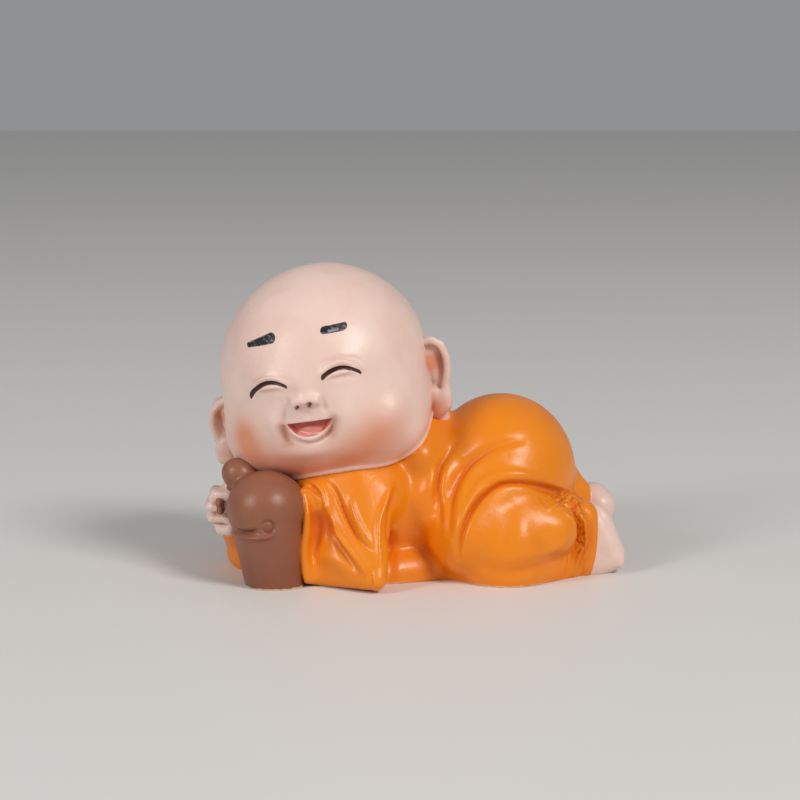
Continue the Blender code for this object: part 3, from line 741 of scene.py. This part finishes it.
def lay_ear(middle, rim, lobe):
    """A thin shell that faces forwards, with a rolled rim and a fat lobe."""
    unit = HEAD_HALF_WIDTH * UNIT
    x, z = middle
    inwards = -math.copysign(0.12, x)
    shell = hull([(x, 0.12, z + 0.12, 0.075), (x, 0.12, z - 0.18, 0.075), (x + inwards, 0.14, z, 0.16)], unit)
    return [
        shell,
        hull([(x, 0.03, z, radius) for x, z, radius in lobe], unit),
        *rope([(x, 0.03, z, 0.038) for x, z in rim], unit),
        hull([(x + inwards, 0.10, z - 0.30, 0.08), (x, 0.08, z - 0.30, 0.06)], unit),
        hull([(x + inwards, 0.16, z - 0.58, 0.12), (x + inwards, 0.10, z - 0.40, 0.12)], unit),
    ]


def model_ears(grain):
    clay = [piece for shape in EARS.values() for piece in lay_ear(*shape)]
    ears = skinned("ears", clay, grain, 4)
    for path in EAR_GROOVES:
        carve(ears.data, face_line(ears.data, path), 0.32, 0.42)
    ears.data.transform(HEAD_PLACE)
    return ears


# The wooden fish, its mallet, the hand and the feet


def lay_fish():
    bpy.ops.object.select_all(action="DESELECT")
    bpy.ops.mesh.primitive_cone_add(
        vertices=64, radius1=3.98 * UNIT, radius2=5.2 * UNIT, depth=11.0 * UNIT
    )
    foot = bpy.context.object
    foot.matrix_world = Matrix.Translation(Vector((-20.0, -13.3, 4.6)) * UNIT) @ turned((0.0, -6.0, 0.0))
    return [ball((-20.6, -13.0, 10.8), (5.6, 5.6, 5.2)), foot]


def lay_mallet():
    """Its round head, and its stick that comes out of the fist."""
    return [
        ball((-24.5, -10.0, 15.0), (2.6, 2.4, 2.3), (0.0, 25.0, 0.0)),
        *rope([(-24.6, -9.6, 14.6, 1.0), (-26.8, -8.4, 11.0, 0.7)]),
        *rope([(-27.3, -8.6, 11.2, 0.60), (-27.45, -10.5, 11.0, 0.56)]),
        *rope([(-27.15, -8.8, 10.2, 0.66), (-27.2, -10.7, 9.9, 0.62)]),
    ]


def model_fish(grain):
    """The drum on its narrow foot with the slot across it, and the mallet's head behind."""
    fish = skinned("fish and mallet", [*lay_fish(), *lay_mallet()], grain, 5)
    mesh = fish.data
    eye = (-20.2, 9.15)
    slot = [(-26.2, 8.5), (-24.6, 8.3), (-23.2, 8.3), (-22.2, 8.5), (-21.6, 8.8)]
    ledge = [(-26.2, 7.8), (-24.6, 7.62), (-23.2, 7.6), (-21.8, 7.6), (-20.4, 7.7), (-19.3, 8.2)]
    ring = [(eye[0] + 0.80 * math.cos(a), eye[1] + 0.78 * math.sin(a)) for a in np.linspace(-3.4, 3.4, 15)]
    divide_near(fish, [drawn_on(mesh, path) for path in (slot, ring, ledge)], 0.7)
    carve(mesh, drawn_on(mesh, ledge), 0.34, -0.50)
    carve(mesh, drawn_on(mesh, slot), 0.36, 0.42, 0.12)
    carve(mesh, drawn_on(mesh, ring), 0.24, 0.30)
    return fish


FINGERS = ((11.8, 29.1, 1.0), (10.2, 29.7, 1.05), (8.55, 29.55, 1.05), (7.0, 28.4, 1.0))


def lay_hand():
    """A small fist: four rolled fingers, the palm behind them, and the web up to the mallet."""
    clay = [
        ball((-26.3, -6.2, 9.4), (2.0, 2.2, 3.0)),
        *rope([(-26.9, -7.8, 11.6, 1.2), (-26.1, -8.6, 13.2, 0.8)]),
    ]
    for height, reach, radius in FINGERS:
        left = radius - reach
        knuckle = (left + 0.3, -8.6, height, radius)
        clay += rope([(-26.0, -9.2, height, radius), knuckle, (left, -6.2, height, radius)])
    return clay


def lay_feet():
    """The near foot rests beside its cuff, and the far one lies crossed on top."""
    near = [(24.0, -3.7, 7.6, 2.5), (25.4, -3.9, 6.8, 2.6), (27.3, -4.6, 2.4, 2.5), (24.5, -4.8, 1.6, 2.8)]
    far = [(25.6, 2.0, 9.2, 2.5), (26.4, 1.3, 8.4, 2.4), (26.0, 0.8, 6.6, 2.3), (24.8, 4.2, 7.6, 2.6)]
    clay = [hull(near), hull(far)]
    for toe in range(5):
        place = (28.6 - 0.12 * toe**2, -6.0 + 1.15 * toe, 2.0)
        clay.append(ball(place, (1.0, 0.8 - 0.04 * toe, 1.3 - 0.06 * toe)))
    return clay


def model_hand_and_feet(grain):
    clay = skinned("hand and feet", [*lay_hand(), *lay_feet()], grain, 4)
    for (upper, *_), (lower, *_) in zip(FINGERS, FINGERS[1:]):
        height = (upper + lower) / 2
        between = drawn_on(clay.data, [(-29.2, height), (-27.8, height - 0.1), (-25.6, height)])
        carve(clay.data, between, 0.26, 0.55)
    carve(clay.data, drawn_on(clay.data, [(25.2, 9.9), (26.6, 8.0), (27.8, 6.4)]), 0.35, 0.15)
    return clay


# Shader maths


class Wire:
    """A number or colour that runs through a material. Arithmetic on it adds Math nodes."""

    def __init__(self, recipe, socket):
        self.recipe, self.socket = recipe, socket

    def maths(self, operation, *others, clamp=False):
        sockets = dict(enumerate((self, *others)))
        return self.recipe.node("ShaderNodeMath", {"operation": operation, "use_clamp": clamp}, sockets)

    def __add__(self, other):
        return self.maths("ADD", other)

    __radd__ = __add__

    def __sub__(self, other):
        return self.maths("SUBTRACT", other)

    def __rsub__(self, other):
        return self.recipe.node("ShaderNodeMath", {"operation": "SUBTRACT"}, {0: other, 1: self})

    def __mul__(self, other):
        return self.maths("MULTIPLY", other)

    __rmul__ = __mul__

    def __truediv__(self, other):
        return self.maths("DIVIDE", other)

    def __pow__(self, other):
        return self.maths("POWER", other)

    def __abs__(self):
        return self.maths("ABSOLUTE")

    def least(self, other):
        return self.maths("MINIMUM", other)

    def most(self, other):
        return self.maths("MAXIMUM", other)

    def root(self):
        return self.maths("SQRT")

    def clamped(self):
        return self.maths("ADD", 0.0, clamp=True)

    def eased(self, low, high):
        """0 at low and 1 at high, either way round, smoothly between."""
        settings = {"interpolation_type": "SMOOTHSTEP"}
        sockets = {"Value": self, "From Min": low, "From Max": high}
        if low > high:
            sockets.update({"From Min": high, "From Max": low, "To Min": 1.0, "To Max": 0.0})
        return self.recipe.node("ShaderNodeMapRange", settings, sockets)


class Recipe:
    """A material as it is written: node() adds any node and gives its output as a Wire."""

    def __init__(self, name, **constants):
        self.material = bpy.data.materials.new(name)
        self.material.use_nodes = True
        self.tree = self.material.node_tree
        self.surface = self.tree.nodes["Principled BSDF"]
        for socket, value in constants.items():
            self.surface.inputs[socket.replace("_", " ")].default_value = value

    def node(self, kind, settings=None, sockets=None, output=0):
        node = self.tree.nodes.new(kind)
        for key, value in (settings or {}).items():
            setattr(node, key, value)
        for key, value in (sockets or {}).items():
            if isinstance(value, Wire):
                self.tree.links.new(value.socket, node.inputs[key])
            else:
                node.inputs[key].default_value = value
        return Wire(self, node.outputs[output])

    def place(self):
        return self.node("ShaderNodeTexCoord", output="Object")

    def split(self, vector):
        made = self.node("ShaderNodeSeparateXYZ", sockets={0: vector})
        outputs = made.socket.node.outputs
        return [Wire(self, outputs[axis]) for axis in range(3)]

    def noise(self, place, size, detail=2.0, stretch=(1.0, 1.0, 1.0)):
        """Soft noise around 0.5 whose blotches are about so many metres wide."""
        scale = tuple(s / size for s in stretch)
        scaled = self.node("ShaderNodeMapping", sockets={"Vector": place, "Scale": scale})
        return self.node("ShaderNodeTexNoise", sockets={"Vector": scaled, "Scale": 1.0, "Detail": detail})

    def mix(self, factor, first, second):
        """One colour into another by a factor."""
        settings = {"data_type": "RGBA", "clamp_factor": True}
        return self.node("ShaderNodeMix", settings, {0: factor, 6: first, 7: second}, output=2)

    def attribute(self, name):
        return self.node("ShaderNodeAttribute", {"attribute_name": name}, output="Fac")

    def finish(self, color, roughness, height, distance):
        """Links what varies over the surface. Height is the relief, distance its depth in metres."""
        links = self.tree.links
        links.new(color.socket, self.surface.inputs["Base Color"])
        links.new(roughness.socket, self.surface.inputs["Roughness"])
        bump = self.node("ShaderNodeBump", sockets={"Height": height, "Strength": 1.0, "Distance": distance})
        links.new(bump.socket, self.surface.inputs["Normal"])
        return self.material


def rgb(red, green, blue):
    """A colour given as 0 to 255 on screen, as the shader needs it."""

    def linear(value):
        value /= 255.0
        return value / 12.92 if value <= 0.04045 else ((value + 0.055) / 1.055) ** 2.4

    return linear(red), linear(green), linear(blue), 1.0


def face_place(recipe):
    """Where a point is in the head's own frame, in half head widths."""
    shift = bpy.context.scene.figurine.shift
    place = Matrix.Translation(shift) @ HEAD_PLACE
    size = HEAD_HALF_WIDTH * UNIT
    sockets = {
        "Vector": recipe.place(),
        "Location": place.to_translation(),
        "Rotation": place.to_euler("XYZ"),
        "Scale": (size, size, size),
    }
    return recipe.node("ShaderNodeMapping", {"vector_type": "TEXTURE"}, sockets)


def on_front(y):
    return y.eased(-0.2, -0.4)


def lash_mask(x, z, side, ragged):
    """The brown line painted in the groove under each lid, thicker at its left end."""
    middle, half, (level, slant, bow, twist) = LASHES[side]
    at = (x - middle) / half
    curve = level + slant * at + bow * at * at + twist * at * at * at
    slope = (slant + 2.0 * bow * at + 3.0 * twist * at * at) / half
    across = (z - curve) / (slope * slope + 1.0).root()
    past = ((abs(at) - 0.97) * half).most(0.0)
    half_width = 0.0190 - 0.0035 * at + ragged * 0.006
    away = (across * across + past * past).root() - half_width
    return away.eased(0.003, -0.003)


def stroke_away(x, z, start, end, start_radius, end_radius):
    """How far a point is outside a brush stroke between two (x, z) ends."""
    run = (end[0] - start[0], end[1] - start[1])
    length = run[0] ** 2 + run[1] ** 2
    along = (((x - start[0]) * run[0] + (z - start[1]) * run[1]) / length).clamped()
    off_x = x - start[0] - along * run[0]
    off_z = z - start[1] - along * run[1]
    return (off_x * off_x + off_z * off_z).root() - (along * (end_radius - start_radius) + start_radius)


def mouth_mask(x, z):
    """1 inside the smile."""
    at = (x - MOUTH_MIDDLE) / MOUTH_HALF_WIDTH
    open_there = (1.0 - at * at).clamped()
    upper = MOUTH_TOP - 0.003 * at
    lower = upper - (open_there**0.65) * (1.0 - 0.2 * at) * MOUTH_DEPTH
    inside = (upper - z).least(z - lower)
    return inside.eased(-0.004, 0.006) * open_there.eased(0.0, 0.05)


def spot(x, y, z, centre, spread):
    """A soft round patch of airbrushed colour in the head's frame."""
    dx, dy, dz = x - centre[0], y - centre[1], z - centre[2]
    return ((dx * dx + dy * dy + dz * dz) * (-1.0 / spread**2)).maths("EXPONENT")


def skin_paint():
    """Pale satin skin with airbrushed blush, and the brows, lashes, nostrils and mouth painted on, with
    painted shade in the hollows, grooves and mouth corners and a painted highlight along the seam's bead.
    """
    recipe = Recipe("painted skin", IOR=1.46, Coat_Weight=0.12, Coat_Roughness=0.35)
    place = recipe.place()
    x, y, z = recipe.split(face_place(recipe))
    front = on_front(y)
    mottle = recipe.noise(place, 0.006, 3.0)
    grit = recipe.noise(place, 0.0005, 2.0)
    ragged = grit - 0.5
    hollow = recipe.attribute("hollow")

    pale, warm = rgb(238, 208, 196), rgb(228, 190, 176)
    color = recipe.mix(mottle.eased(0.35, 0.7) * 0.5, pale, warm)
    # Painted shade in the hollows and along the pressed grooves of the face.
    color = recipe.mix(hollow.eased(0.15, 0.9) * 0.4, color, rgb(204, 146, 122))
    color = recipe.mix(recipe.attribute("painted_light").eased(0.08, 0.55) * 0.6, color, rgb(176, 106, 74))
    for start, end in (((-0.240, -0.18), (-0.236, -0.33)), ((0.245, -0.17), (0.190, -0.29))):
        shaded = stroke_away(x, z, start, end, 0.014, 0.014).eased(0.080, -0.014) * front
        color = recipe.mix(shaded * 0.6, color, rgb(178, 112, 82))
    bead = (recipe.attribute("painted_light") * -1.0).eased(0.25, 0.80)

    blush = spot(x, y, z, (0.58, -0.86, -0.47), 0.24) * 0.95
    blush = blush + spot(x, y, z, (0.30, -0.86, -0.55), 0.20) * 0.5
    blush = blush + spot(x, y, z, (-0.66, -0.81, -0.26), 0.17) * 0.8
    blush = blush + spot(x, y, z, (-0.58, -0.82, -0.48), 0.24) * 0.8
    blush = blush + spot(x, y, z, (-0.26, -0.84, -0.64), 0.24) * 0.9
    blush = blush + spot(x, y, z, (0.10, -0.80, -0.68), 0.24) * 0.7
    blush = blush + spot(x, y, z, (0.985, 0.02, -0.10), 0.095) * 1.3
    blush = blush + spot(x, y, z, (0.955, 0.0, -0.53), 0.095) * 1.3
    blush = blush + spot(x, y, z, (-1.07, 0.02, -0.33), 0.065) * 1.3
    blush = blush + spot(x, y, z, (-1.10, 0.0, -0.70), 0.075) * 0.7
    blush = (blush * (mottle * 0.5 + 0.75)).clamped()
    color = recipe.mix(blush * 0.85, color, rgb(220, 134, 94))
    # Painted highlight along the bead of the seam.
    color = recipe.mix(bead * 0.9, color, rgb(252, 218, 204))

    mouth = mouth_mask(x, z)
    off_x, off_z = (x - 0.0) * (1.0 / 0.125), (z + 0.270) * (1.0 / 0.055)
    tongue = (off_x * off_x + off_z * off_z).eased(1.3, 0.6)
    lips = recipe.mix(tongue, rgb(192, 90, 78), rgb(218, 132, 122))
    color = recipe.mix(mouth * front, color, lips)
    for start, end, radius in (
        ((-0.038, 0.006), (-0.066, -0.018), 0.008),
        ((0.080, 0.024), (0.056, -0.008), 0.012),
    ):
        nostril = stroke_away(x, z, start, end, radius, radius)
        color = recipe.mix(nostril.eased(0.010, -0.006) * front * 0.9, color, rgb(134, 64, 38))
    for side in (0, 1):
        color = recipe.mix(lash_mask(x, z, side, ragged) * front, color, rgb(66, 26, 10))

    brows = stroke_away(x, z, *(end[:2] for end in BROWS[0]), *(end[2] for end in BROWS[0]))
    brows = brows.least(stroke_away(x, z, *(end[:2] for end in BROWS[1]), *(end[2] for end in BROWS[1])))
    brow = (brows + ragged * 0.010).eased(0.004, -0.004) * front
    streaks = recipe.noise(place, 0.00030, 3.0, stretch=(0.5, 1.0, 1.0))
    # Paler grey in the brows along thin streaks, and in a strip along the lower middle of the right brow.
    pale_strip = stroke_away(x, z, (0.318, 0.572), (0.392, 0.568), 0.010, 0.008).eased(0.006, -0.004)
    worn = (streaks.eased(0.54, 0.68) * 0.7).most(pale_strip * 0.9)
    brow_color = recipe.mix(worn, rgb(26, 28, 36), rgb(142, 144, 152))
    color = recipe.mix(brow, color, brow_color)

    peel = recipe.noise(place, 0.0011, 2.0)
    fine = recipe.noise(place, 0.00028, 1.0)
    roughness = 0.38 + (mottle - 0.5) * 0.12 - (mouth * front + bead) * 0.12 - brow * 0.08
    height = peel * 0.8 + fine * 0.30 + brow * 0.6
    return recipe.finish(color, roughness, height, 0.00005)


def worn_low(recipe, color):
    """The colour with the paint worn off along the lowest edge, where the mould's flash was cut."""
    place = recipe.place()
    _, y, z = recipe.split(place)
    chips = recipe.noise(place, 0.0009, 2.0) - 0.5
    edge = (z - chips * 0.0004).eased(0.00032, 0.00016) * y.eased(-0.0105, -0.0125)
    return recipe.mix(edge * 0.75, color, rgb(232, 206, 178))


GATHERS = (
    # Where the cloth crumples above the cuff and down its hem, as (x, z) and how far it spreads
    ((20.2, 11.5), (2.8, 0.8)),
    ((22.8, 9.6), (1.0, 1.6)),
    ((23.2, 5.2), (0.9, 2.6)),
)


def gathered(recipe, place):
    """How much the cloth is gathered at a point of the near trouser leg, from 0 to 1."""
    shift = bpy.context.scene.figurine.shift
    x, y, z = recipe.split(place)
    amount = 0.0
    for centre, reach in GATHERS:
        across = (x - shift.x - centre[0] * UNIT) * (1.0 / (reach[0] * UNIT))
        up = (z - shift.z - centre[1] * UNIT) * (1.0 / (reach[1] * UNIT))
        amount = amount + ((across * across + up * up) * -1.0).maths("EXPONENT")
    return amount.clamped() * y.eased(-0.001, -0.004)


def robe_paint():
    """Glossy orange enamel, darkened by painted shade in the folds and in the crumpled cloth."""
    recipe = Recipe("orange robe paint", IOR=1.46, Coat_Weight=0.08, Coat_Roughness=0.16)
    place = recipe.place()
    hollow = recipe.attribute("hollow")
    gathers = gathered(recipe, place)
    crumple = recipe.noise(place, 0.0009, 2.0)
    mottle = recipe.noise(place, 0.009, 3.0)
    color = recipe.mix(mottle.eased(0.35, 0.7) * 0.35, rgb(238, 136, 12), rgb(230, 122, 8))
    # Painted shade in the hollows and along the pressed folds.
    color = recipe.mix(hollow.eased(0.3, 1.0) * 0.35, color, rgb(216, 96, 8))
    painted_light = recipe.attribute("painted_light")
    color = recipe.mix(painted_light.eased(0.25, 0.9) * 0.8, color, rgb(212, 90, 0))
    # Painted shade in the low spots of the crumpled cloth.
    color = recipe.mix(crumple.eased(0.52, 0.40) * gathers * 0.7, color, rgb(196, 74, 0))
    peel = recipe.noise(place, 0.0014, 2.0)
    fine = recipe.noise(place, 0.0004, 1.0)
    roughness = 0.35 + (mottle - 0.5) * 0.12 + painted_light.eased(0.2, 0.8) * 0.2
    height = peel * 0.9 + fine * 0.25 + crumple * gathers * 10.0
    return recipe.finish(worn_low(recipe, color), roughness, height, 0.00006)


def fish_paint():
    """Satin brown, a little redder low down and worn pale along its lowest edge."""
    recipe = Recipe("brown drum paint", IOR=1.46, Coat_Weight=0.1, Coat_Roughness=0.3)
    place = recipe.place()
    hollow = recipe.attribute("hollow")
    mottle = recipe.noise(place, 0.004, 3.0)
    _, _, z = recipe.split(place)
    color = recipe.mix(mottle.eased(0.3, 0.75) * 0.5, rgb(150, 94, 70), rgb(136, 80, 56))
    color = recipe.mix(z.eased(0.009, 0.0) * 0.6, color, rgb(120, 64, 40))
    # Painted shade in the hollows and along the slot, the ledge and the eye's ring.
    color = recipe.mix(hollow.eased(0.1, 0.8) * 0.5, color, rgb(98, 50, 32))
    color = recipe.mix(recipe.attribute("painted_light").eased(0.1, 0.5) * 0.6, color, rgb(92, 46, 28))
    peel = recipe.noise(place, 0.0010, 2.0)
    roughness = 0.40 + (mottle - 0.5) * 0.12
    return recipe.finish(worn_low(recipe, color), roughness, peel, 0.00004)


# Fusing, measuring and painting


def raise_seam(head, robe):
    """A bead of skin paint where the head rests on the robe, on the side that it looks to, noted for a
    painted highlight along it.
    """
    reach, flat, edge, height = 1.8 * UNIT, 0.6, 0.5, 0.55
    tree = surface_tree(robe.data)

    def close(place):
        return place.y < HEAD_CENTRE[1] * UNIT and tree.find_nearest(place, reach)[0] is not None

    divide_where(head, close)
    points, normals = points_of(head.data), normals_of(head.data)
    index = [i for i, point in enumerate(points) if close(Vector(point))]
    gaps = np.array([tree.find_nearest(Vector(points[i]), reach)[3] for i in index]) / UNIT
    bead = np.exp(-((np.maximum(gaps - flat, 0.0) / edge) ** 2))
    points[index] += normals[index] * (bead * height * UNIT)[:, None]
    set_points(head.data, points)
    # Negative amounts give the bead a painted highlight.
    add_painted_light(head.data, index, -bead)


def take_painted_lights(pieces):
    """The painted shade and highlight of all the pieces, by place, because a union would muddle them."""
    places = [points_of(piece.data) for piece in pieces]
    tree = KDTree(sum(len(points) for points in places))
    painted_lights = []
    for piece, points in zip(pieces, places):
        for point in points:
            tree.insert(point, len(painted_lights))
            painted_lights.append(0.0)
        noted = piece.data.attributes.get("painted_light")
        if noted:
            values = np.empty(len(points), np.float32)
            noted.data.foreach_get("value", values)
            painted_lights[-len(points) :] = values.tolist()
            piece.data.attributes.remove(noted)
    tree.balance()
    return tree, painted_lights


def give_painted_lights(mesh, tree, painted_lights):
    values = [painted_lights[tree.find(vertex.co)[1]] for vertex in mesh.vertices]
    mesh.attributes.new("painted_light", "FLOAT", "POINT").data.foreach_set("value", values)


def fused(pieces):
    """One closed casting made of the pieces, which overlap."""
    whole, least_kept = pieces[0], 0.8
    union = {"operation": "UNION", "solver": "EXACT", "material_mode": "TRANSFER"}
    for other in pieces[1:]:
        before = len(whole.data.polygons)
        modifier(whole, "BOOLEAN", object=other, **union)
        if len(whole.data.polygons) < least_kept * before:
            raise RuntimeError(f"The union with {other.name} lost the rest of the casting")
        bpy.data.objects.remove(other, do_unlink=True)
    return whole


def cut_flat(casting):
    """Takes off what is below the ground."""
    bpy.ops.object.select_all(action="DESELECT")
    bpy.ops.mesh.primitive_cube_add(size=0.2, location=(0.0, 0.0, -0.1))
    ground = bpy.context.object
    modifier(casting, "BOOLEAN", operation="DIFFERENCE", object=ground, solver="EXACT")
    bpy.data.objects.remove(ground, do_unlink=True)


def edges_of(mesh):
    ends = np.empty(len(mesh.edges) * 2, np.int32)
    mesh.edges.foreach_get("vertices", ends)
    return ends.reshape(-1, 2)


def averaged(values, ends, times):
    """The values, each mixed with its neighbours' so many times."""
    count = np.bincount(ends.ravel(), minlength=len(values))[:, None]
    for _ in range(times):
        total = values * 0.0
        for axis in range(values.shape[1]):
            total[:, axis] += np.bincount(ends[:, 0], values[ends[:, 1], axis], len(values))
            total[:, axis] += np.bincount(ends[:, 1], values[ends[:, 0], axis], len(values))
        values = 0.5 * values + 0.5 * total / np.maximum(count, 1)
    return values


def mark_hollows(mesh, passes):
    """Stores how deep each point lies below its surroundings, as the attribute 'hollow', which the paints use
    for painted shade.
    """
    points, normals, ends = points_of(mesh), normals_of(mesh), edges_of(mesh)
    depth = np.einsum("ij,ij->i", averaged(points, ends, passes) - points, normals) / UNIT
    depth = averaged(depth[:, None], ends, 2)[:, 0]
    hollow = mesh.attributes.new("hollow", "FLOAT", "POINT")
    hollow.data.foreach_set("value", np.clip(depth / 0.25, 0.0, 1.0).astype(np.float32))


def paint(obj, material):
    obj.data.materials.clear()
    obj.data.materials.append(material)


# The add-on


class FigurineSettings(bpy.types.PropertyGroup):
    """Sizes that a user would change."""

    robe_grain: FloatProperty(
        name="Robe mesh width",
        description="Width of the robe's mesh, in units",
        default=0.38,
        min=0.2,
        max=1.0,
    )
    fine_grain: FloatProperty(
        name="Fine mesh width", description="Width of the small pieces' mesh, in units", default=0.28, min=0.1
    )
    hollow_passes: IntProperty(
        name="Hollow reach", description="How many rings of mesh a fold is compared with", default=16, min=4
    )
    shift: FloatVectorProperty(
        name="Shift",
        description="From the sculptor's frame to the object's own",
        subtype="TRANSLATION",
        unit="LENGTH",
    )


class StudioSettings(bpy.types.PropertyGroup):
    """The camera, the lights and the floor."""

    distance: FloatProperty(
        name="Camera distance", description="From the aim", default=360.0 * UNIT, unit="LENGTH"
    )
    elevation: FloatProperty(
        name="Camera elevation", description="Above the level", default=math.radians(8.5), subtype="ANGLE"
    )
    lens: FloatProperty(name="Lens", description="Focal length in millimetres", default=113.684)
    aim: FloatVectorProperty(
        name="Aim",
        description="What the camera looks at, in the sculptor's frame",
        default=(-2.2 * UNIT, 0.0, 23.928 * UNIT),
        subtype="TRANSLATION",
        unit="LENGTH",
    )
    floor_size: FloatProperty(name="Floor size", description="Width of the floor", default=3.0, unit="LENGTH")
    floor_color: FloatVectorProperty(
        name="Floor colour", description="Colour of the floor", default=(0.78, 0.77, 0.75), subtype="COLOR"
    )
    key_power: FloatProperty(
        name="Key light", description="Power of the light at the right", default=5.4, unit="POWER"
    )
    fill_power: FloatProperty(
        name="Fill light", description="Power of the light at the left", default=2.7, unit="POWER"
    )
    air_strength: FloatProperty(
        name="Studio air", description="Strength of the light from all around", default=0.30
    )


class MONK_OT_robe(bpy.types.Operator):
    """Models the robe with the body in it"""

    bl_idname = "monk.robe"
    bl_label = "Robe"

    def execute(self, context):
        paint(model_robe(context.scene.figurine.robe_grain), robe_paint())
        return {"FINISHED"}


class MONK_OT_head(bpy.types.Operator):
    """Models the head with its face and ears"""

    bl_idname = "monk.head"
    bl_label = "Head and ears"

    def execute(self, context):
        model_head()
        model_ears(context.scene.figurine.fine_grain)
        return {"FINISHED"}


class MONK_OT_fish(bpy.types.Operator):
    """Models the wooden fish and its mallet"""

    bl_idname = "monk.fish"
    bl_label = "Wooden fish"

    def execute(self, context):
        paint(model_fish(context.scene.figurine.fine_grain), fish_paint())
        return {"FINISHED"}


class MONK_OT_hand_and_feet(bpy.types.Operator):
    """Models the fist and the two bare feet"""

    bl_idname = "monk.hand_and_feet"
    bl_label = "Hand and feet"

    def execute(self, context):
        model_hand_and_feet(context.scene.figurine.fine_grain)
        return {"FINISHED"}


class MONK_OT_cast(bpy.types.Operator):
    """Fuses the clays in one casting, paints it and sets it on its body"""

    bl_idname = "monk.cast"
    bl_label = "Cast and paint"

    def execute(self, context):
        settings = context.scene.figurine
        names = ("robe", "head", "ears", "fish and mallet", "hand and feet")
        parts = [bpy.data.objects[name] for name in names]
        low, high = extent(parts)
        settings.shift = (-(low[0] + high[0]) / 2, -(low[1] + high[1]) / 2, 0.0)
        skin = skin_paint()
        for name in ("head", "ears", "hand and feet"):
            paint(bpy.data.objects[name], skin)
        raise_seam(bpy.data.objects["head"], bpy.data.objects["robe"])
        painted_lights = take_painted_lights(parts)
        casting = fused(parts)
        cut_flat(casting)
        give_painted_lights(casting.data, *painted_lights)
        casting.data.transform(Matrix.Translation(settings.shift))
        casting.name = "painted_casting"
        mark_hollows(casting.data, settings.hollow_passes)
        select_only(casting)
        bpy.ops.object.shade_smooth()
        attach(casting, "root")
        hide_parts(NODE)
        return {"FINISHED"}


def extent(objects):
    points = np.vstack([points_of(obj.data) for obj in objects])
    return points.min(0), points.max(0)


LIGHTS = {
    # Each is (place in metres, width and height in metres, colour)
    "key": ((0.50, -0.58, 0.66), (0.30, 0.30), (1.0, 0.97, 0.93)),
    "fill": ((-0.62, -0.50, 0.44), (0.20, 0.34), (1.0, 0.98, 0.96)),
}


def add_light(name, aim, power):
    place, size, color = LIGHTS[name]
    bpy.ops.object.select_all(action="DESELECT")
    bpy.ops.object.light_add(type="AREA", location=place)
    light = bpy.context.object
    light.name = name
    light.rotation_euler = (Vector(aim) - Vector(place)).to_track_quat("-Z", "Y").to_euler()
    light.data.shape = "RECTANGLE"
    light.data.size, light.data.size_y = size
    light.data.energy = power
    light.data.color = color


class MONK_OT_stage(bpy.types.Operator):
    """Sets the floor, the lights and the camera"""

    bl_idname = "monk.stage"
    bl_label = "Stage"

    def execute(self, context):
        studio, shift = context.scene.studio, Vector(context.scene.figurine.shift)
        bpy.ops.object.select_all(action="DESELECT")
        bpy.ops.mesh.primitive_plane_add(size=studio.floor_size, location=(0.0, 0.0, 0.0))
        floor = context.object
        floor.name = "floor"
        paint(floor, floor_paint(studio.floor_color))

        aim = Vector(studio.aim) + shift
        back = Vector((0.0, -math.cos(studio.elevation), math.sin(studio.elevation)))
        bpy.ops.object.camera_add(location=aim + back * studio.distance)
        camera = context.object
        camera.rotation_euler = (-back).to_track_quat("-Z", "Y").to_euler()
        camera.data.lens = studio.lens
        camera.data.sensor_width = 36.0
        camera.data.clip_start = 0.01
        context.scene.camera = camera

        add_light("key", aim, studio.key_power)
        add_light("fill", aim, studio.fill_power)
        world = bpy.data.worlds.new("studio air")
        context.scene.world = world
        world.use_nodes = True
        air = world.node_tree.nodes["Background"].inputs
        air["Color"].default_value = (0.92, 0.93, 0.95, 1.0)
        air["Strength"].default_value = studio.air_strength
        context.scene.view_settings.view_transform = "Standard"
        return {"FINISHED"}


def floor_paint(color):
    recipe = Recipe("pale floor", Roughness=0.55)
    recipe.surface.inputs["Base Color"].default_value = (*color, 1.0)
    return recipe.material


class MONK_PT_panel(bpy.types.Panel):
    """Lists the steps and the settings"""

    bl_idname = "MONK_PT_panel"
    bl_label = "Figurine"
    bl_space_type = "VIEW_3D"
    bl_region_type = "UI"
    bl_category = "Figurine"

    def draw(self, context):
        for operator in OPERATORS:
            self.layout.operator(operator.bl_idname)
        for group in (context.scene.figurine, context.scene.studio):
            for name in group.__annotations__:
                self.layout.prop(group, name)


OPERATORS = (MONK_OT_robe, MONK_OT_head, MONK_OT_fish, MONK_OT_hand_and_feet, MONK_OT_cast, MONK_OT_stage)
CLASSES = (FigurineSettings, StudioSettings, *OPERATORS, MONK_PT_panel)


def register():
    for cls in CLASSES:
        bpy.utils.register_class(cls)
    bpy.types.Scene.figurine = PointerProperty(type=FigurineSettings)
    bpy.types.Scene.studio = PointerProperty(type=StudioSettings)


def unregister():
    del bpy.types.Scene.studio
    del bpy.types.Scene.figurine
    for cls in reversed(CLASSES):
        bpy.utils.unregister_class(cls)


def main():
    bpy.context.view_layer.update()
    register()
    bpy.ops.object.select_all(action="DESELECT")
    bpy.ops.monk.robe()
    bpy.ops.monk.head()
    bpy.ops.monk.fish()
    bpy.ops.monk.hand_and_feet()
    bpy.ops.monk.cast()
    bpy.ops.monk.stage()


if __name__ == "__main__":
    main()
